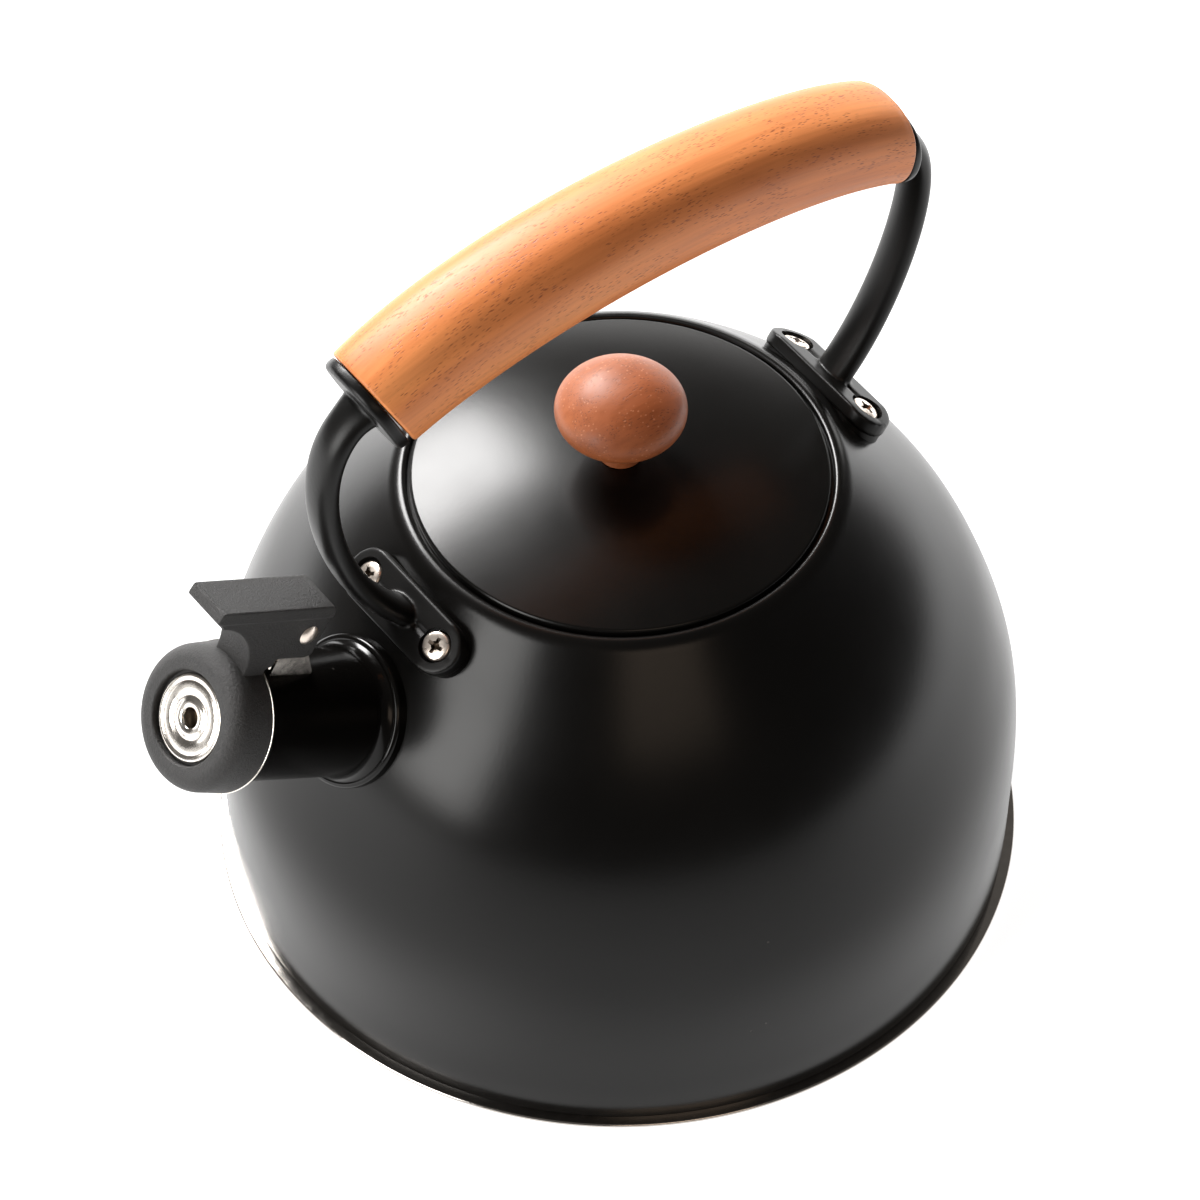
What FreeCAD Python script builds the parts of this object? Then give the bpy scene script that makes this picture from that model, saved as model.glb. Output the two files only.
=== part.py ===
"""Stovetop whistling kettle: domed steel body, lift-off lid, sprung whistle cap, fixed arched handle.

Millimetres, +Z up. The origin is the centre of the base, on the surface the kettle stands on.
The spout points along +X, and XZ is the plane of symmetry.
"""
import FreeCAD, Part
import math
import os

from FreeCAD import Vector

os.makedirs("parts", exist_ok=True)

# ---------------------------------------------------------------- driving dimensions
SHEET = 0.8                   # steel sheet of the body, lid and spout
FIT = 0.05                    # gap between parts that are pressed or welded together

# base
RIM_RADIUS = 110.6            # polished rim, the widest part of the kettle
RIM_BOTTOM = 0.8
RIM_TOP = 2.0
RIM_ROUND = 0.55
PAN_FLOOR = 5.0               # underside of the pan's floor
COVER_RADIUS = 102.0
COVER_SHEET = 0.8
COVER_BEND = 2.4
PAN_STEP = 1.0                # from the cover's wall to the pan's step

# body outline, (radius, height), from the foot up to the shoulder of the mouth
BODY_OUTLINE = [(107.6, RIM_TOP), (108.0, 6.5), (108.4, 18.0), (108.8, 40.0), (107.3, 60.0),
                (102.6, 77.0), (95.0, 95.0), (83.8, 112.0), (70.0, 127.5), (59.6, 138.3)]
MOUTH_TOP = 139.4             # crest of the rolled mouth
MOUTH_RADIUS = 56.0           # recess that the lid drops into
HEM_RADIUS = 60.0             # where the body's sheet is folded back under the mouth
LEDGE_HEIGHT = 137.8          # shelf that the lid rests over
NECK_RADIUS = 47.4            # filler neck
NECK_BOTTOM = 131.5

# lid
LID_RADIUS = 55.2
LID_EDGE_TOP = 139.9
LID_EDGE_BOTTOM = 138.1
LID_RISE = 7.4                # crown above the edge
LID_EDGE_ROUND = 0.5
SKIRT_RADIUS = 46.8
SKIRT_BOTTOM = 129.5
SKIRT_FLANGE = 4.0

# knob
# knob outline, (radius, height), from its top, over its widest part, to the neck
KNOB_OUTLINE = [(0, 175.0), (9.0, 173.1), (15.2, 169.1), (17.3, 164.4), (15.0, 159.4), (10.0, 156.1),
                (6.4, 154.5)]
KNOB_NECK = (5.4, 152.0)
KNOB_FOOT_RADIUS = 5.9
KNOB_SCREW_DEPTH = 13.0       # of the hole in the wood
KNOB_SCREW_RADIUS = 2.0
KNOB_SCREW_LENGTH = 12.0
KNOB_SCREW_HEAD = (3.8, 2.2)  # radius and height
WASHER_RADIUS = 6.0
WASHER_THICKNESS = 0.9

# spout: a straight tube in its own frame, U along its axis and V square to it, in the XZ plane.
# U = 0 is the outer face of the whistle.
SPOUT_TILT = 33.0
SPOUT_ORIGIN = Vector(136.0, 0, 135.9)
TUBE_RADIUS = 16.9
TUBE_END = -7.5
TUBE_ROOT = -66.0
LIP_RADIUS = 17.25
LIP_LENGTH = 1.4
COLLAR_RADIUS = 20.2
COLLAR_SHOULDER = -56.4
COLLAR_CREST = -54.9
COLLAR_TOP = -51.0

# whistle cap
CAP_REAR_RADIUS = 19.55
CAP_FRONT_RADIUS = 19.1
CAP_REAR = -10.6
CAP_FRONT = 1.2
CAP_EDGE = 4.4
CAP_BORE = 18.55
CAP_WALL_BACK = -3.5
WHISTLE_RADIUS = 11.5
WHISTLE_HOLE = 2.6
WHISTLE_RECESS = 12.3
WHISTLE_SHEET = 0.5
WHISTLE_BACK = -5.4           # front of the chamber's rear plate
WHISTLE_SEAT = -1.0           # face of the cap that the whistle is pressed against
BARREL_RADIUS = 9.4
BARREL_END = -6.4
BARREL_GAP = 0.1
LINER_SHEET = 0.4
LINER_FLANGE = 19.75
SEAL_INNER = 14.6

# cap lever and hinge
LEVER_HALF_WIDTH = 6.3
PAD_HALF_WIDTH = 6.9
PAD_FRONT = 14.9
PAD_REAR = -23.2
PAD_TOP_FRONT = 38.6
PAD_TOP_REAR = 40.2
PAD_UNDERSIDE = 36.2
CHEEK_REAR = -24.4
CHEEK_BOTTOM = 23.4
CHEEK_FRONT = -12.8
SCOOP_CENTRE = (12.0, 17.3)
SCOOP_RADIUS = 15.8
SLOT_HALF_WIDTH = 4.7
SLOT_TOP = 35.2
SLOT_FRONT = -13.4
PIN_U = -19.5
PIN_V = 30.8
PIN_RADIUS = 1.5
PIN_CLEARANCE = 0.05
PIN_HEAD_RADIUS = 2.8
PIN_HEAD_HEIGHT = 0.9
PIN_HEAD_GAP = 0.1
EAR_OUTER = 4.3
EAR_SHEET = 0.9
EAR_ROUND = 3.6
BRACKET_REAR = -30.3
BRACKET_FRONT = -15.6
EAR_TOE = (4.2, 5.2)          # foot of the ear's sloping rear edge, along and up
SPRING_WIRE = 0.35
SPRING_RADIUS = 2.3
SPRING_PITCH = 0.95
SPRING_HALF_LENGTH = 2.6
SPRING_LEG = 3.0

# handle feet: each lies flatter than the dome beneath it, and is curved to follow it along Y
FOOT_ANGLE = 54.0             # the foot plate's normal above the horizontal
FOOT_BASE = (68.05, 129.7)    # (x, z) of its middle, on the dome
DOME_RADIUS = 92.0            # of the dome across the foot
BRACKET_RISE = 1.8            # welded bracket at its middle
FOOT_THICKNESS = 3.9
FOOT_LENGTH = 45.0
FOOT_WIDTH = 14.8
FOOT_EDGE = 1.4
FOOT_SCREW_ANGLE = 8.95       # of each foot screw from the foot's middle, round the dome
SCREW_RADIUS = 1.95
SCREW_HOLE = 2.0
SCREW_HEAD_RADIUS = 4.1
SCREW_HEAD_HEIGHT = 1.7
SCREW_HEAD_SINK = 0.5
COUNTERBORE_RADIUS = 4.75

# handle arms: Bezier poles (x, z), flange first and foot last
FRONT_ARM_POLES = [(79.4, 216.0), (92.8, 210.9), (99.2, 194.8), (92.5, 155.2), (69.8, 132.4)]
REAR_ARM_POLES = [(-83.9, 213.5), (-103.2, 207.8), (-96.6, 175.2), (-85.1, 146.2), (-69.4, 131.6)]
ARM_WIDTH = 11.3
ARM_THICKNESS = 6.6
ARM_STATIONS = 13
FLANGE_THICKNESS = 3.4
FLANGE_EDGE = 1.2

# grip: Bezier poles (x, z) of its centre line, front end first
GRIP_POLES = [(76.5, 217.2), (33.9, 238.0), (-48.7, 233.7), (-82.6, 216.1)]
GRIP_WIDTHS = [28.6, 29.6, 29.9, 29.6, 29.2, 29.2, 29.4]
GRIP_HEIGHTS = [28.4, 29.4, 29.4, 28.9, 28.0, 26.4, 24.0]
GRIP_END_TILTS = (26.0, 13.0)     # how far the front and rear end faces look down
FLANGE_TILTS = (23.6, 13.0)       # the front flange stands off the wood at the top
FLANGE_SIZES = [(27.2, 27.2), (28.4, 20.4)]   # front and rear flange, width and height
FLANGE_DROPS = (0.0, 2.0)         # how far each flange sits below the middle of the wood
GRIP_SQUARENESS = 2.28        # 2 is an ellipse, more is squarer
STUD_RADIUS = 3.0
STUD_LENGTH = 26.0
STUD_HEAD_DEPTH = 3.0

X_AXIS = Vector(1, 0, 0)
Y_AXIS = Vector(0, 1, 0)
Z_AXIS = Vector(0, 0, 1)


# ---------------------------------------------------------------- helpers
def revolve_outline(edges, centre=Vector(0, 0, 0), axis=Z_AXIS):
    """Solid of revolution of a closed outline given as edges."""
    face = Part.Face(Part.Wire(Part.__sortEdges__(edges)))
    return face.revolve(centre, axis, 360)


def ring(points, centre=Vector(0, 0, 0), axis=Z_AXIS):
    """Solid of revolution of a polygon given as vectors."""
    return Part.Face(Part.makePolygon(points + points[:1])).revolve(centre, axis, 360)


def rz(radius, height):
    """A point of an outline that turns about Z."""
    return Vector(radius, 0, height)


def ur(along, radius):
    """A point of an outline that turns about the spout's axis, in the spout's frame."""
    return Vector(along, 0, radius)


def line(start, end):
    return Part.LineSegment(start, end).toShape()


def arc(start, middle, end):
    return Part.Arc(start, middle, end).toShape()


def spline(points):
    curve = Part.BSplineCurve()
    curve.interpolate(points)
    return curve


def offset_points(curve, points, distance):
    """The points moved off the curve by a distance, to its inner side."""
    moved = []
    for point in points:
        tangent = curve.tangent(curve.parameter(point))[0]
        inward = Vector(-tangent.z, 0, tangent.x)
        if inward.x > 0:
            inward = inward * -1
        moved.append(point + inward * distance)
    return moved


def to_spout(shape):
    """Moves a shape from the spout's frame to its place on the kettle."""
    placed = shape.copy()
    placed.rotate(Vector(0, 0, 0), Y_AXIS, -SPOUT_TILT)
    placed.translate(SPOUT_ORIGIN)
    return placed


def foot_frame(side):
    """Moves a shape from a foot's frame, Z out of the dome, to the front (1) or rear (-1) foot."""
    def place(shape):
        placed = shape.copy()
        placed.rotate(Vector(0, 0, 0), Y_AXIS, 90 - FOOT_ANGLE)
        placed.translate(Vector(FOOT_BASE[0], 0, FOOT_BASE[1]))
        if side < 0:
            placed = placed.mirror(Vector(0, 0, 0), X_AXIS)
        return placed
    return place


def obround(length, width, height):
    """Flat plate with round ends, long along Y, its underside on Z = 0."""
    half = (length - width) / 2
    radius = width / 2
    edges = [
        line(Vector(radius, -half, 0), Vector(radius, half, 0)),
        arc(Vector(radius, half, 0), Vector(0, half + radius, 0), Vector(-radius, half, 0)),
        line(Vector(-radius, half, 0), Vector(-radius, -half, 0)),
        arc(Vector(-radius, -half, 0), Vector(0, -half - radius, 0), Vector(radius, -half, 0)),
    ]
    return Part.Face(Part.Wire(edges)).extrude(Vector(0, 0, height))


def edges_near(shape, test):
    return [edge for edge in shape.Edges if test(edge.CenterOfMass)]


def bezier(poles):
    curve = Part.BezierCurve()
    curve.setPoles([Vector(x, 0, z) for x, z in poles])
    return curve


def oval_section(centre, tangent, width, thickness, squareness=2.0):
    """Closed curve square to the tangent, wide along Y."""
    up = tangent.cross(Y_AXIS)
    points = []
    steps = 24
    for step in range(steps):
        angle = 2 * math.pi * step / steps
        across = math.copysign(abs(math.cos(angle)) ** (2 / squareness), math.cos(angle))
        along = math.copysign(abs(math.sin(angle)) ** (2 / squareness), math.sin(angle))
        points.append(centre + Y_AXIS * (across * width / 2) + up * (along * thickness / 2))
    curve = Part.BSplineCurve()
    curve.interpolate(points, PeriodicFlag=True)
    return Part.Wire(curve.toShape())


def export(node, *shapes):
    """Writes one node. Several shapes stay separate solids of that node."""
    shape = shapes[0] if len(shapes) == 1 else Part.makeCompound(list(shapes))
    if shape.ShapeType == "Compound" and len(shape.Solids) == 1:
        shape = shape.Solids[0]
    print(f"{node:20s} solids {len(shape.Solids)} valid {shape.isValid()} volume {shape.Volume:10.1f}")
    shape.exportStep(f"parts/{node}.step")


# ---------------------------------------------------------------- body
def body_curves():
    outer_points = [rz(*point) for point in BODY_OUTLINE]
    outer = spline(outer_points)
    inner_points = offset_points(outer, outer_points, SHEET)
    inner_points[0] = rz(BODY_OUTLINE[0][0] - SHEET, RIM_TOP)
    inner_points[-1] = rz(HEM_RADIUS, LEDGE_HEIGHT - SHEET)
    return outer, spline(inner_points)


def solid_dome():
    """Everything inside the body's outer face, for trimming what stands on the dome."""
    outer = body_curves()[0]
    foot = rz(*BODY_OUTLINE[0])
    shoulder = rz(*BODY_OUTLINE[-1])
    edges = [outer.toShape(), line(shoulder, rz(0, shoulder.z)),
             line(rz(0, shoulder.z), rz(0, foot.z)), line(rz(0, foot.z), foot)]
    return revolve_outline(edges)


def body_shell():
    outer, inner = body_curves()
    foot = rz(*BODY_OUTLINE[0])
    shoulder = rz(*BODY_OUTLINE[-1])
    mouth = rz(MOUTH_RADIUS, MOUTH_TOP - 1.1)
    crest = rz(MOUTH_RADIUS + 1.25, MOUTH_TOP)
    under = LEDGE_HEIGHT - SHEET
    path = [mouth, rz(MOUTH_RADIUS, under), rz(HEM_RADIUS, under)]
    edges = [outer.toShape(), arc(shoulder, crest, mouth)]
    edges += [line(start, end) for start, end in zip(path, path[1:])]
    edges += [inner.toShape(), line(rz(foot.x - SHEET, foot.z), foot)]
    shell = revolve_outline(edges)
    bore = Part.makeCylinder(TUBE_RADIUS - SHEET, 40, Vector(-85, 0, 0), X_AXIS)
    return shell.cut(to_spout(bore))


def filler_neck():
    """Drawn ring set into the mouth: the shelf under the lid's edge, and the neck."""
    edge = MOUTH_RADIUS - FIT
    under = LEDGE_HEIGHT - SHEET
    outer = NECK_RADIUS + SHEET
    return ring([rz(edge, LEDGE_HEIGHT), rz(NECK_RADIUS, LEDGE_HEIGHT), rz(NECK_RADIUS, NECK_BOTTOM),
                 rz(outer, NECK_BOTTOM), rz(outer, under), rz(edge, under)])


def base_pan():
    """Floor of the kettle, with the polished rim that the body is seamed to."""
    step_in = COVER_RADIUS + PAN_STEP
    rim_edge = RIM_RADIUS - RIM_ROUND
    middle = (RIM_TOP + RIM_BOTTOM) / 2
    edges = [
        line(rz(0, PAN_FLOOR), rz(step_in, PAN_FLOOR)),
        line(rz(step_in, PAN_FLOOR), rz(step_in, RIM_BOTTOM)),
        line(rz(step_in, RIM_BOTTOM), rz(rim_edge, RIM_BOTTOM)),
        arc(rz(rim_edge, RIM_BOTTOM), rz(RIM_RADIUS, middle), rz(rim_edge, RIM_TOP)),
        line(rz(rim_edge, RIM_TOP), rz(step_in + SHEET, RIM_TOP)),
        line(rz(step_in + SHEET, RIM_TOP), rz(step_in + SHEET, PAN_FLOOR + SHEET)),
        line(rz(step_in + SHEET, PAN_FLOOR + SHEET), rz(0, PAN_FLOOR + SHEET)),
        line(rz(0, PAN_FLOOR + SHEET), rz(0, PAN_FLOOR)),
    ]
    return revolve_outline(edges)


def heat_spreader():
    radius = COVER_RADIUS - COVER_SHEET - FIT
    return Part.makeCylinder(radius, PAN_FLOOR - COVER_SHEET, rz(0, COVER_SHEET))


def base_cover():
    """Steel cup pressed over the heat spreader. Its flat face is what the kettle stands on."""
    bend = COVER_BEND
    wall = COVER_RADIUS - COVER_SHEET
    half = bend * (1 - math.sqrt(0.5))
    edges = [
        line(rz(0, 0), rz(COVER_RADIUS - bend, 0)),
        arc(rz(COVER_RADIUS - bend, 0), rz(COVER_RADIUS - half, half), rz(COVER_RADIUS, bend)),
        line(rz(COVER_RADIUS, bend), rz(COVER_RADIUS, PAN_FLOOR)),
        line(rz(COVER_RADIUS, PAN_FLOOR), rz(wall, PAN_FLOOR)),
        line(rz(wall, PAN_FLOOR), rz(wall, COVER_SHEET)),
        line(rz(wall, COVER_SHEET), rz(0, COVER_SHEET)),
        line(rz(0, COVER_SHEET), rz(0, 0)),
    ]
    return revolve_outline(edges)


# ---------------------------------------------------------------- spout
def spout_tube(dome):
    length = TUBE_END - TUBE_ROOT
    tube = Part.makeCylinder(TUBE_RADIUS, length, Vector(TUBE_ROOT, 0, 0), X_AXIS)
    lip_start = TUBE_END - LIP_LENGTH
    middle = (lip_start + TUBE_END) / 2
    edges = [
        line(ur(lip_start, TUBE_RADIUS - 0.3), ur(lip_start, TUBE_RADIUS)),
        arc(ur(lip_start, TUBE_RADIUS), ur(middle, LIP_RADIUS), ur(TUBE_END, TUBE_RADIUS)),
        line(ur(TUBE_END, TUBE_RADIUS), ur(TUBE_END, TUBE_RADIUS - 0.3)),
        line(ur(TUBE_END, TUBE_RADIUS - 0.3), ur(lip_start, TUBE_RADIUS - 0.3)),
    ]
    tube = tube.fuse(revolve_outline(edges, axis=X_AXIS))
    bore = Part.makeCylinder(TUBE_RADIUS - SHEET, length + 2, Vector(TUBE_ROOT - 1, 0, 0), X_AXIS)
    return to_spout(tube.cut(bore).removeSplitter()).cut(dome)


def spout_collar(dome):
    """Rolled ring that covers the seam between the tube and the dome."""
    bore = TUBE_RADIUS + FIT
    crest = bore + 1.9
    edges = [
        line(ur(TUBE_ROOT, bore), ur(TUBE_ROOT, COLLAR_RADIUS)),
        line(ur(TUBE_ROOT, COLLAR_RADIUS), ur(COLLAR_SHOULDER, COLLAR_RADIUS)),
        arc(ur(COLLAR_SHOULDER, COLLAR_RADIUS), ur(COLLAR_CREST - 0.3, COLLAR_RADIUS - 0.5),
            ur(COLLAR_CREST, crest)),
        arc(ur(COLLAR_CREST, crest), ur(COLLAR_CREST + 1.3, bore + 0.6), ur(COLLAR_TOP, bore + 0.1)),
        line(ur(COLLAR_TOP, bore + 0.1), ur(COLLAR_TOP, bore)),
        line(ur(COLLAR_TOP, bore), ur(TUBE_ROOT, bore)),
    ]
    return to_spout(revolve_outline(edges, axis=X_AXIS)).cut(dome)


# ---------------------------------------------------------------- cap hinge
def pin_hole(radius, half_length):
    return Part.makeCylinder(radius, 2 * half_length, Vector(PIN_U, -half_length, PIN_V), Y_AXIS)


def hinge_bracket():
    """Steel saddle on top of the tube, with two ears that carry the hinge pin."""
    seat = TUBE_RADIUS + FIT
    saddle = Part.makeCylinder(seat + EAR_SHEET, BRACKET_FRONT - BRACKET_REAR,
                               Vector(BRACKET_REAR, 0, 0), X_AXIS)
    saddle = saddle.cut(Part.makeCylinder(seat, 60, Vector(BRACKET_REAR - 20, 0, 0), X_AXIS))
    strip = Part.makeBox(40, 2 * EAR_OUTER, 20, Vector(BRACKET_REAR - 5, -EAR_OUTER, 5))
    saddle = saddle.common(strip)
    root = seat + 0.2
    toe = Vector(BRACKET_REAR + EAR_TOE[0], 0, root + EAR_TOE[1])
    top_start = Vector(PIN_U - EAR_ROUND, 0, PIN_V)
    top_end = Vector(PIN_U + EAR_ROUND, 0, PIN_V)
    edges = [
        line(Vector(BRACKET_REAR, 0, root), toe),
        line(toe, top_start),
        arc(top_start, Vector(PIN_U, 0, PIN_V + EAR_ROUND), top_end),
        line(top_end, Vector(BRACKET_FRONT, 0, root)),
        line(Vector(BRACKET_FRONT, 0, root), Vector(BRACKET_REAR, 0, root)),
    ]
    ear = Part.Face(Part.Wire(edges)).extrude(Vector(0, EAR_SHEET, 0))
    near = ear.translated(Vector(0, EAR_OUTER - EAR_SHEET, 0))
    far = ear.translated(Vector(0, -EAR_OUTER, 0))
    bracket = saddle.fuse([near, far])
    bracket = bracket.cut(Part.makeCylinder(seat, 60, Vector(BRACKET_REAR - 20, 0, 0), X_AXIS))
    return to_spout(bracket.cut(pin_hole(PIN_RADIUS, 10)).removeSplitter())


def hinge_pin():
    """Rivet through both ears and both cheeks, domed at each end."""
    head_seat = LEVER_HALF_WIDTH + PIN_HEAD_GAP
    pin = pin_hole(PIN_RADIUS, head_seat)
    for side in (1, -1):
        base = Vector(PIN_U, side * head_seat, PIN_V)
        tip = base + Y_AXIS * (side * PIN_HEAD_HEIGHT)
        rim = base + X_AXIS * PIN_HEAD_RADIUS
        mid = base + X_AXIS * (PIN_HEAD_RADIUS * 0.7) + Y_AXIS * (side * PIN_HEAD_HEIGHT * 0.6)
        head = revolve_outline([arc(tip, mid, rim), line(rim, base), line(base, tip)], base, Y_AXIS)
        pin = pin.fuse(head)
    return to_spout(pin.removeSplitter())


def hinge_spring():
    """Torsion spring round the pin, between the ears, with a short leg at each end."""
    turns = 2 * SPRING_HALF_LENGTH / SPRING_PITCH
    helix = Part.makeHelix(SPRING_PITCH, 2 * SPRING_HALF_LENGTH, SPRING_RADIUS)
    profile = Part.Wire(Part.makeCircle(SPRING_WIRE, Vector(SPRING_RADIUS, 0, 0), Y_AXIS))
    coil = Part.Wire(helix).makePipeShell([profile], True, True)
    end_angle = 360 * turns
    lower_leg = Part.makeCylinder(SPRING_WIRE, SPRING_LEG, Vector(SPRING_RADIUS, 0, 0), Vector(0, -1, 0))
    upper_leg = lower_leg.copy()
    upper_leg.rotate(Vector(0, 0, 0), X_AXIS, 180)
    upper_leg.rotate(Vector(0, 0, 0), Z_AXIS, end_angle)
    upper_leg.translate(Vector(0, 0, 2 * SPRING_HALF_LENGTH))
    spring = coil.fuse([lower_leg, upper_leg])
    spring.translate(Vector(0, 0, -SPRING_HALF_LENGTH))
    spring.rotate(Vector(0, 0, 0), X_AXIS, 90)
    spring.translate(Vector(PIN_U, 0, PIN_V))
    return to_spout(spring)


# ---------------------------------------------------------------- whistle cap
def cap_shell():
    edge_start = CAP_FRONT - CAP_EDGE
    face_edge = CAP_FRONT_RADIUS - CAP_EDGE
    slope = CAP_EDGE * math.sqrt(0.5)
    hole = BARREL_RADIUS + BARREL_GAP
    edges = [
        line(ur(CAP_REAR, CAP_BORE), ur(CAP_REAR, CAP_REAR_RADIUS)),
        line(ur(CAP_REAR, CAP_REAR_RADIUS), ur(edge_start, CAP_FRONT_RADIUS)),
        arc(ur(edge_start, CAP_FRONT_RADIUS), ur(edge_start + slope, face_edge + slope),
            ur(CAP_FRONT, face_edge)),
        line(ur(CAP_FRONT, face_edge), ur(CAP_FRONT, WHISTLE_RECESS)),
        line(ur(CAP_FRONT, WHISTLE_RECESS), ur(WHISTLE_SEAT, WHISTLE_RECESS)),
        line(ur(WHISTLE_SEAT, WHISTLE_RECESS), ur(WHISTLE_SEAT, hole)),
        line(ur(WHISTLE_SEAT, hole), ur(CAP_WALL_BACK, hole)),
        line(ur(CAP_WALL_BACK, hole), ur(CAP_WALL_BACK, CAP_BORE)),
        line(ur(CAP_WALL_BACK, CAP_BORE), ur(CAP_REAR, CAP_BORE)),
    ]
    return revolve_outline(edges, axis=X_AXIS)


def cap_lever():
    """Thumb lever: a flat pad on a web with a scooped front, slotted for the hinge ears."""
    centre = Vector(SCOOP_CENTRE[0], 0, SCOOP_CENTRE[1])
    scoop_low = centre + Vector(-SCOOP_RADIUS, 0, 0)
    scoop_mid = centre + Vector(-math.sqrt(0.5), 0, math.sqrt(0.5)) * SCOOP_RADIUS
    scoop_high = centre + Vector(0, 0, SCOOP_RADIUS)
    buried = CAP_BORE + 0.1
    outline = [scoop_high, Vector(PAD_FRONT, 0, PAD_UNDERSIDE), Vector(CHEEK_REAR, 0, PAD_UNDERSIDE),
               Vector(CHEEK_REAR, 0, CHEEK_BOTTOM + 0.9), Vector(CHEEK_REAR + 2.2, 0, CHEEK_BOTTOM),
               Vector(CHEEK_FRONT, 0, CHEEK_BOTTOM - 0.3), Vector(CAP_REAR - 1.6, 0, 20.6),
               Vector(CAP_REAR, 0, 20.0), Vector(CAP_REAR, 0, 17.0), Vector(scoop_low.x, 0, 17.0)]
    edges = [line(start, end) for start, end in zip(outline, outline[1:])]
    edges += [line(outline[-1], scoop_low), arc(scoop_low, scoop_mid, scoop_high)]
    web = Part.Face(Part.Wire(edges)).extrude(Vector(0, 2 * LEVER_HALF_WIDTH, 0))
    web.translate(Vector(0, -LEVER_HALF_WIDTH, 0))
    web = web.cut(Part.makeCylinder(buried, 40, Vector(-30, 0, 0), X_AXIS))
    pad_points = [Vector(PAD_FRONT, 0, PAD_TOP_FRONT), Vector(PAD_REAR, 0, PAD_TOP_REAR),
                  Vector(CHEEK_REAR - 0.1, 0, PAD_TOP_REAR - 1.6), Vector(CHEEK_REAR, 0, PAD_UNDERSIDE + 0.8),
                  Vector(PAD_FRONT + 0.8, 0, PAD_UNDERSIDE - 1.2)]
    pad = Part.Face(Part.makePolygon(pad_points + pad_points[:1])).extrude(Vector(0, 2 * PAD_HALF_WIDTH, 0))
    pad.translate(Vector(0, -PAD_HALF_WIDTH, 0))
    corners = edges_near(pad, lambda p: abs(p.x - PAD_FRONT) < 1.5 and abs(p.y) > PAD_HALF_WIDTH - 0.2)
    pad = pad.makeFillet(0.7, corners)
    slot = Part.makeBox(SLOT_FRONT - CHEEK_REAR + 2, 2 * SLOT_HALF_WIDTH, SLOT_TOP - 15,
                        Vector(CHEEK_REAR - 2, -SLOT_HALF_WIDTH, 15))
    return web.fuse(pad).cut(slot)


def cap_body():
    moulding = cap_shell().fuse(cap_lever()).removeSplitter()
    return to_spout(moulding.cut(pin_hole(PIN_RADIUS + PIN_CLEARANCE, 10)))


def cap_liner():
    """Thin steel cup inside the cap. Its turned-out edge shows behind the moulding."""
    outer = CAP_BORE - FIT
    inner = outer - LINER_SHEET
    hole = BARREL_RADIUS + BARREL_GAP
    points = [ur(CAP_WALL_BACK, hole), ur(CAP_WALL_BACK, outer), ur(CAP_REAR, outer),
              ur(CAP_REAR, LINER_FLANGE), ur(CAP_REAR - LINER_SHEET, LINER_FLANGE),
              ur(CAP_REAR - LINER_SHEET, inner), ur(CAP_WALL_BACK - LINER_SHEET, inner),
              ur(CAP_WALL_BACK - LINER_SHEET, hole)]
    return to_spout(ring(points, axis=X_AXIS))


def whistle_face():
    """Front plate of the whistle, pressed in rings round a raised boss, with its barrel behind."""
    front = [(-0.35, WHISTLE_RADIUS), (0.0, WHISTLE_RADIUS - 0.5), (0.0, 10.2), (-0.45, 9.6),
             (-0.45, 9.0), (0.0, 8.4), (-0.9, 6.6), (-0.9, 6.0), (-0.1, 4.6), (-0.1, WHISTLE_HOLE)]
    bore = BARREL_RADIUS - WHISTLE_SHEET
    shoulder = WHISTLE_SEAT + FIT
    back = [(u - WHISTLE_SHEET, r) for u, r in reversed(front) if r < bore]
    barrel = [(back[-1][0] - 0.2, bore), (BARREL_END, bore), (BARREL_END, BARREL_RADIUS),
              (shoulder, BARREL_RADIUS), (shoulder, WHISTLE_RADIUS)]
    points = [ur(u, r) for u, r in front + back + barrel]
    return to_spout(ring(points, axis=X_AXIS))


def whistle_back():
    """Rear plate of the whistle chamber."""
    plate_radius = BARREL_RADIUS - WHISTLE_SHEET - 0.02
    rear = WHISTLE_BACK - WHISTLE_SHEET
    points = [ur(rear, WHISTLE_HOLE), ur(WHISTLE_BACK, WHISTLE_HOLE), ur(WHISTLE_BACK, plate_radius),
              ur(rear, plate_radius)]
    return to_spout(ring(points, axis=X_AXIS))


def cap_seal():
    """Silicone ring that closes on the end of the tube."""
    outer = CAP_BORE - LINER_SHEET - 2 * FIT
    front = CAP_WALL_BACK - LINER_SHEET
    back = TUBE_END + 0.3
    points = [ur(front, SEAL_INNER), ur(front, outer), ur(back, outer), ur(back, SEAL_INNER + 0.6)]
    return to_spout(ring(points, axis=X_AXIS))


# ---------------------------------------------------------------- lid
def lid_arc_points(drop=0.0):
    """Edge, half way and crown of the lid's domed face, lowered by drop."""
    radius = (LID_RADIUS ** 2 + LID_RISE ** 2) / (2 * LID_RISE)
    centre = LID_EDGE_TOP + LID_RISE - radius
    half = LID_RADIUS / 2
    half_height = centre + math.sqrt(radius ** 2 - half ** 2)
    return (rz(LID_RADIUS - LID_EDGE_ROUND, LID_EDGE_TOP - drop + 0.15), rz(half, half_height - drop),
            rz(0, LID_EDGE_TOP + LID_RISE - drop))


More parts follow.
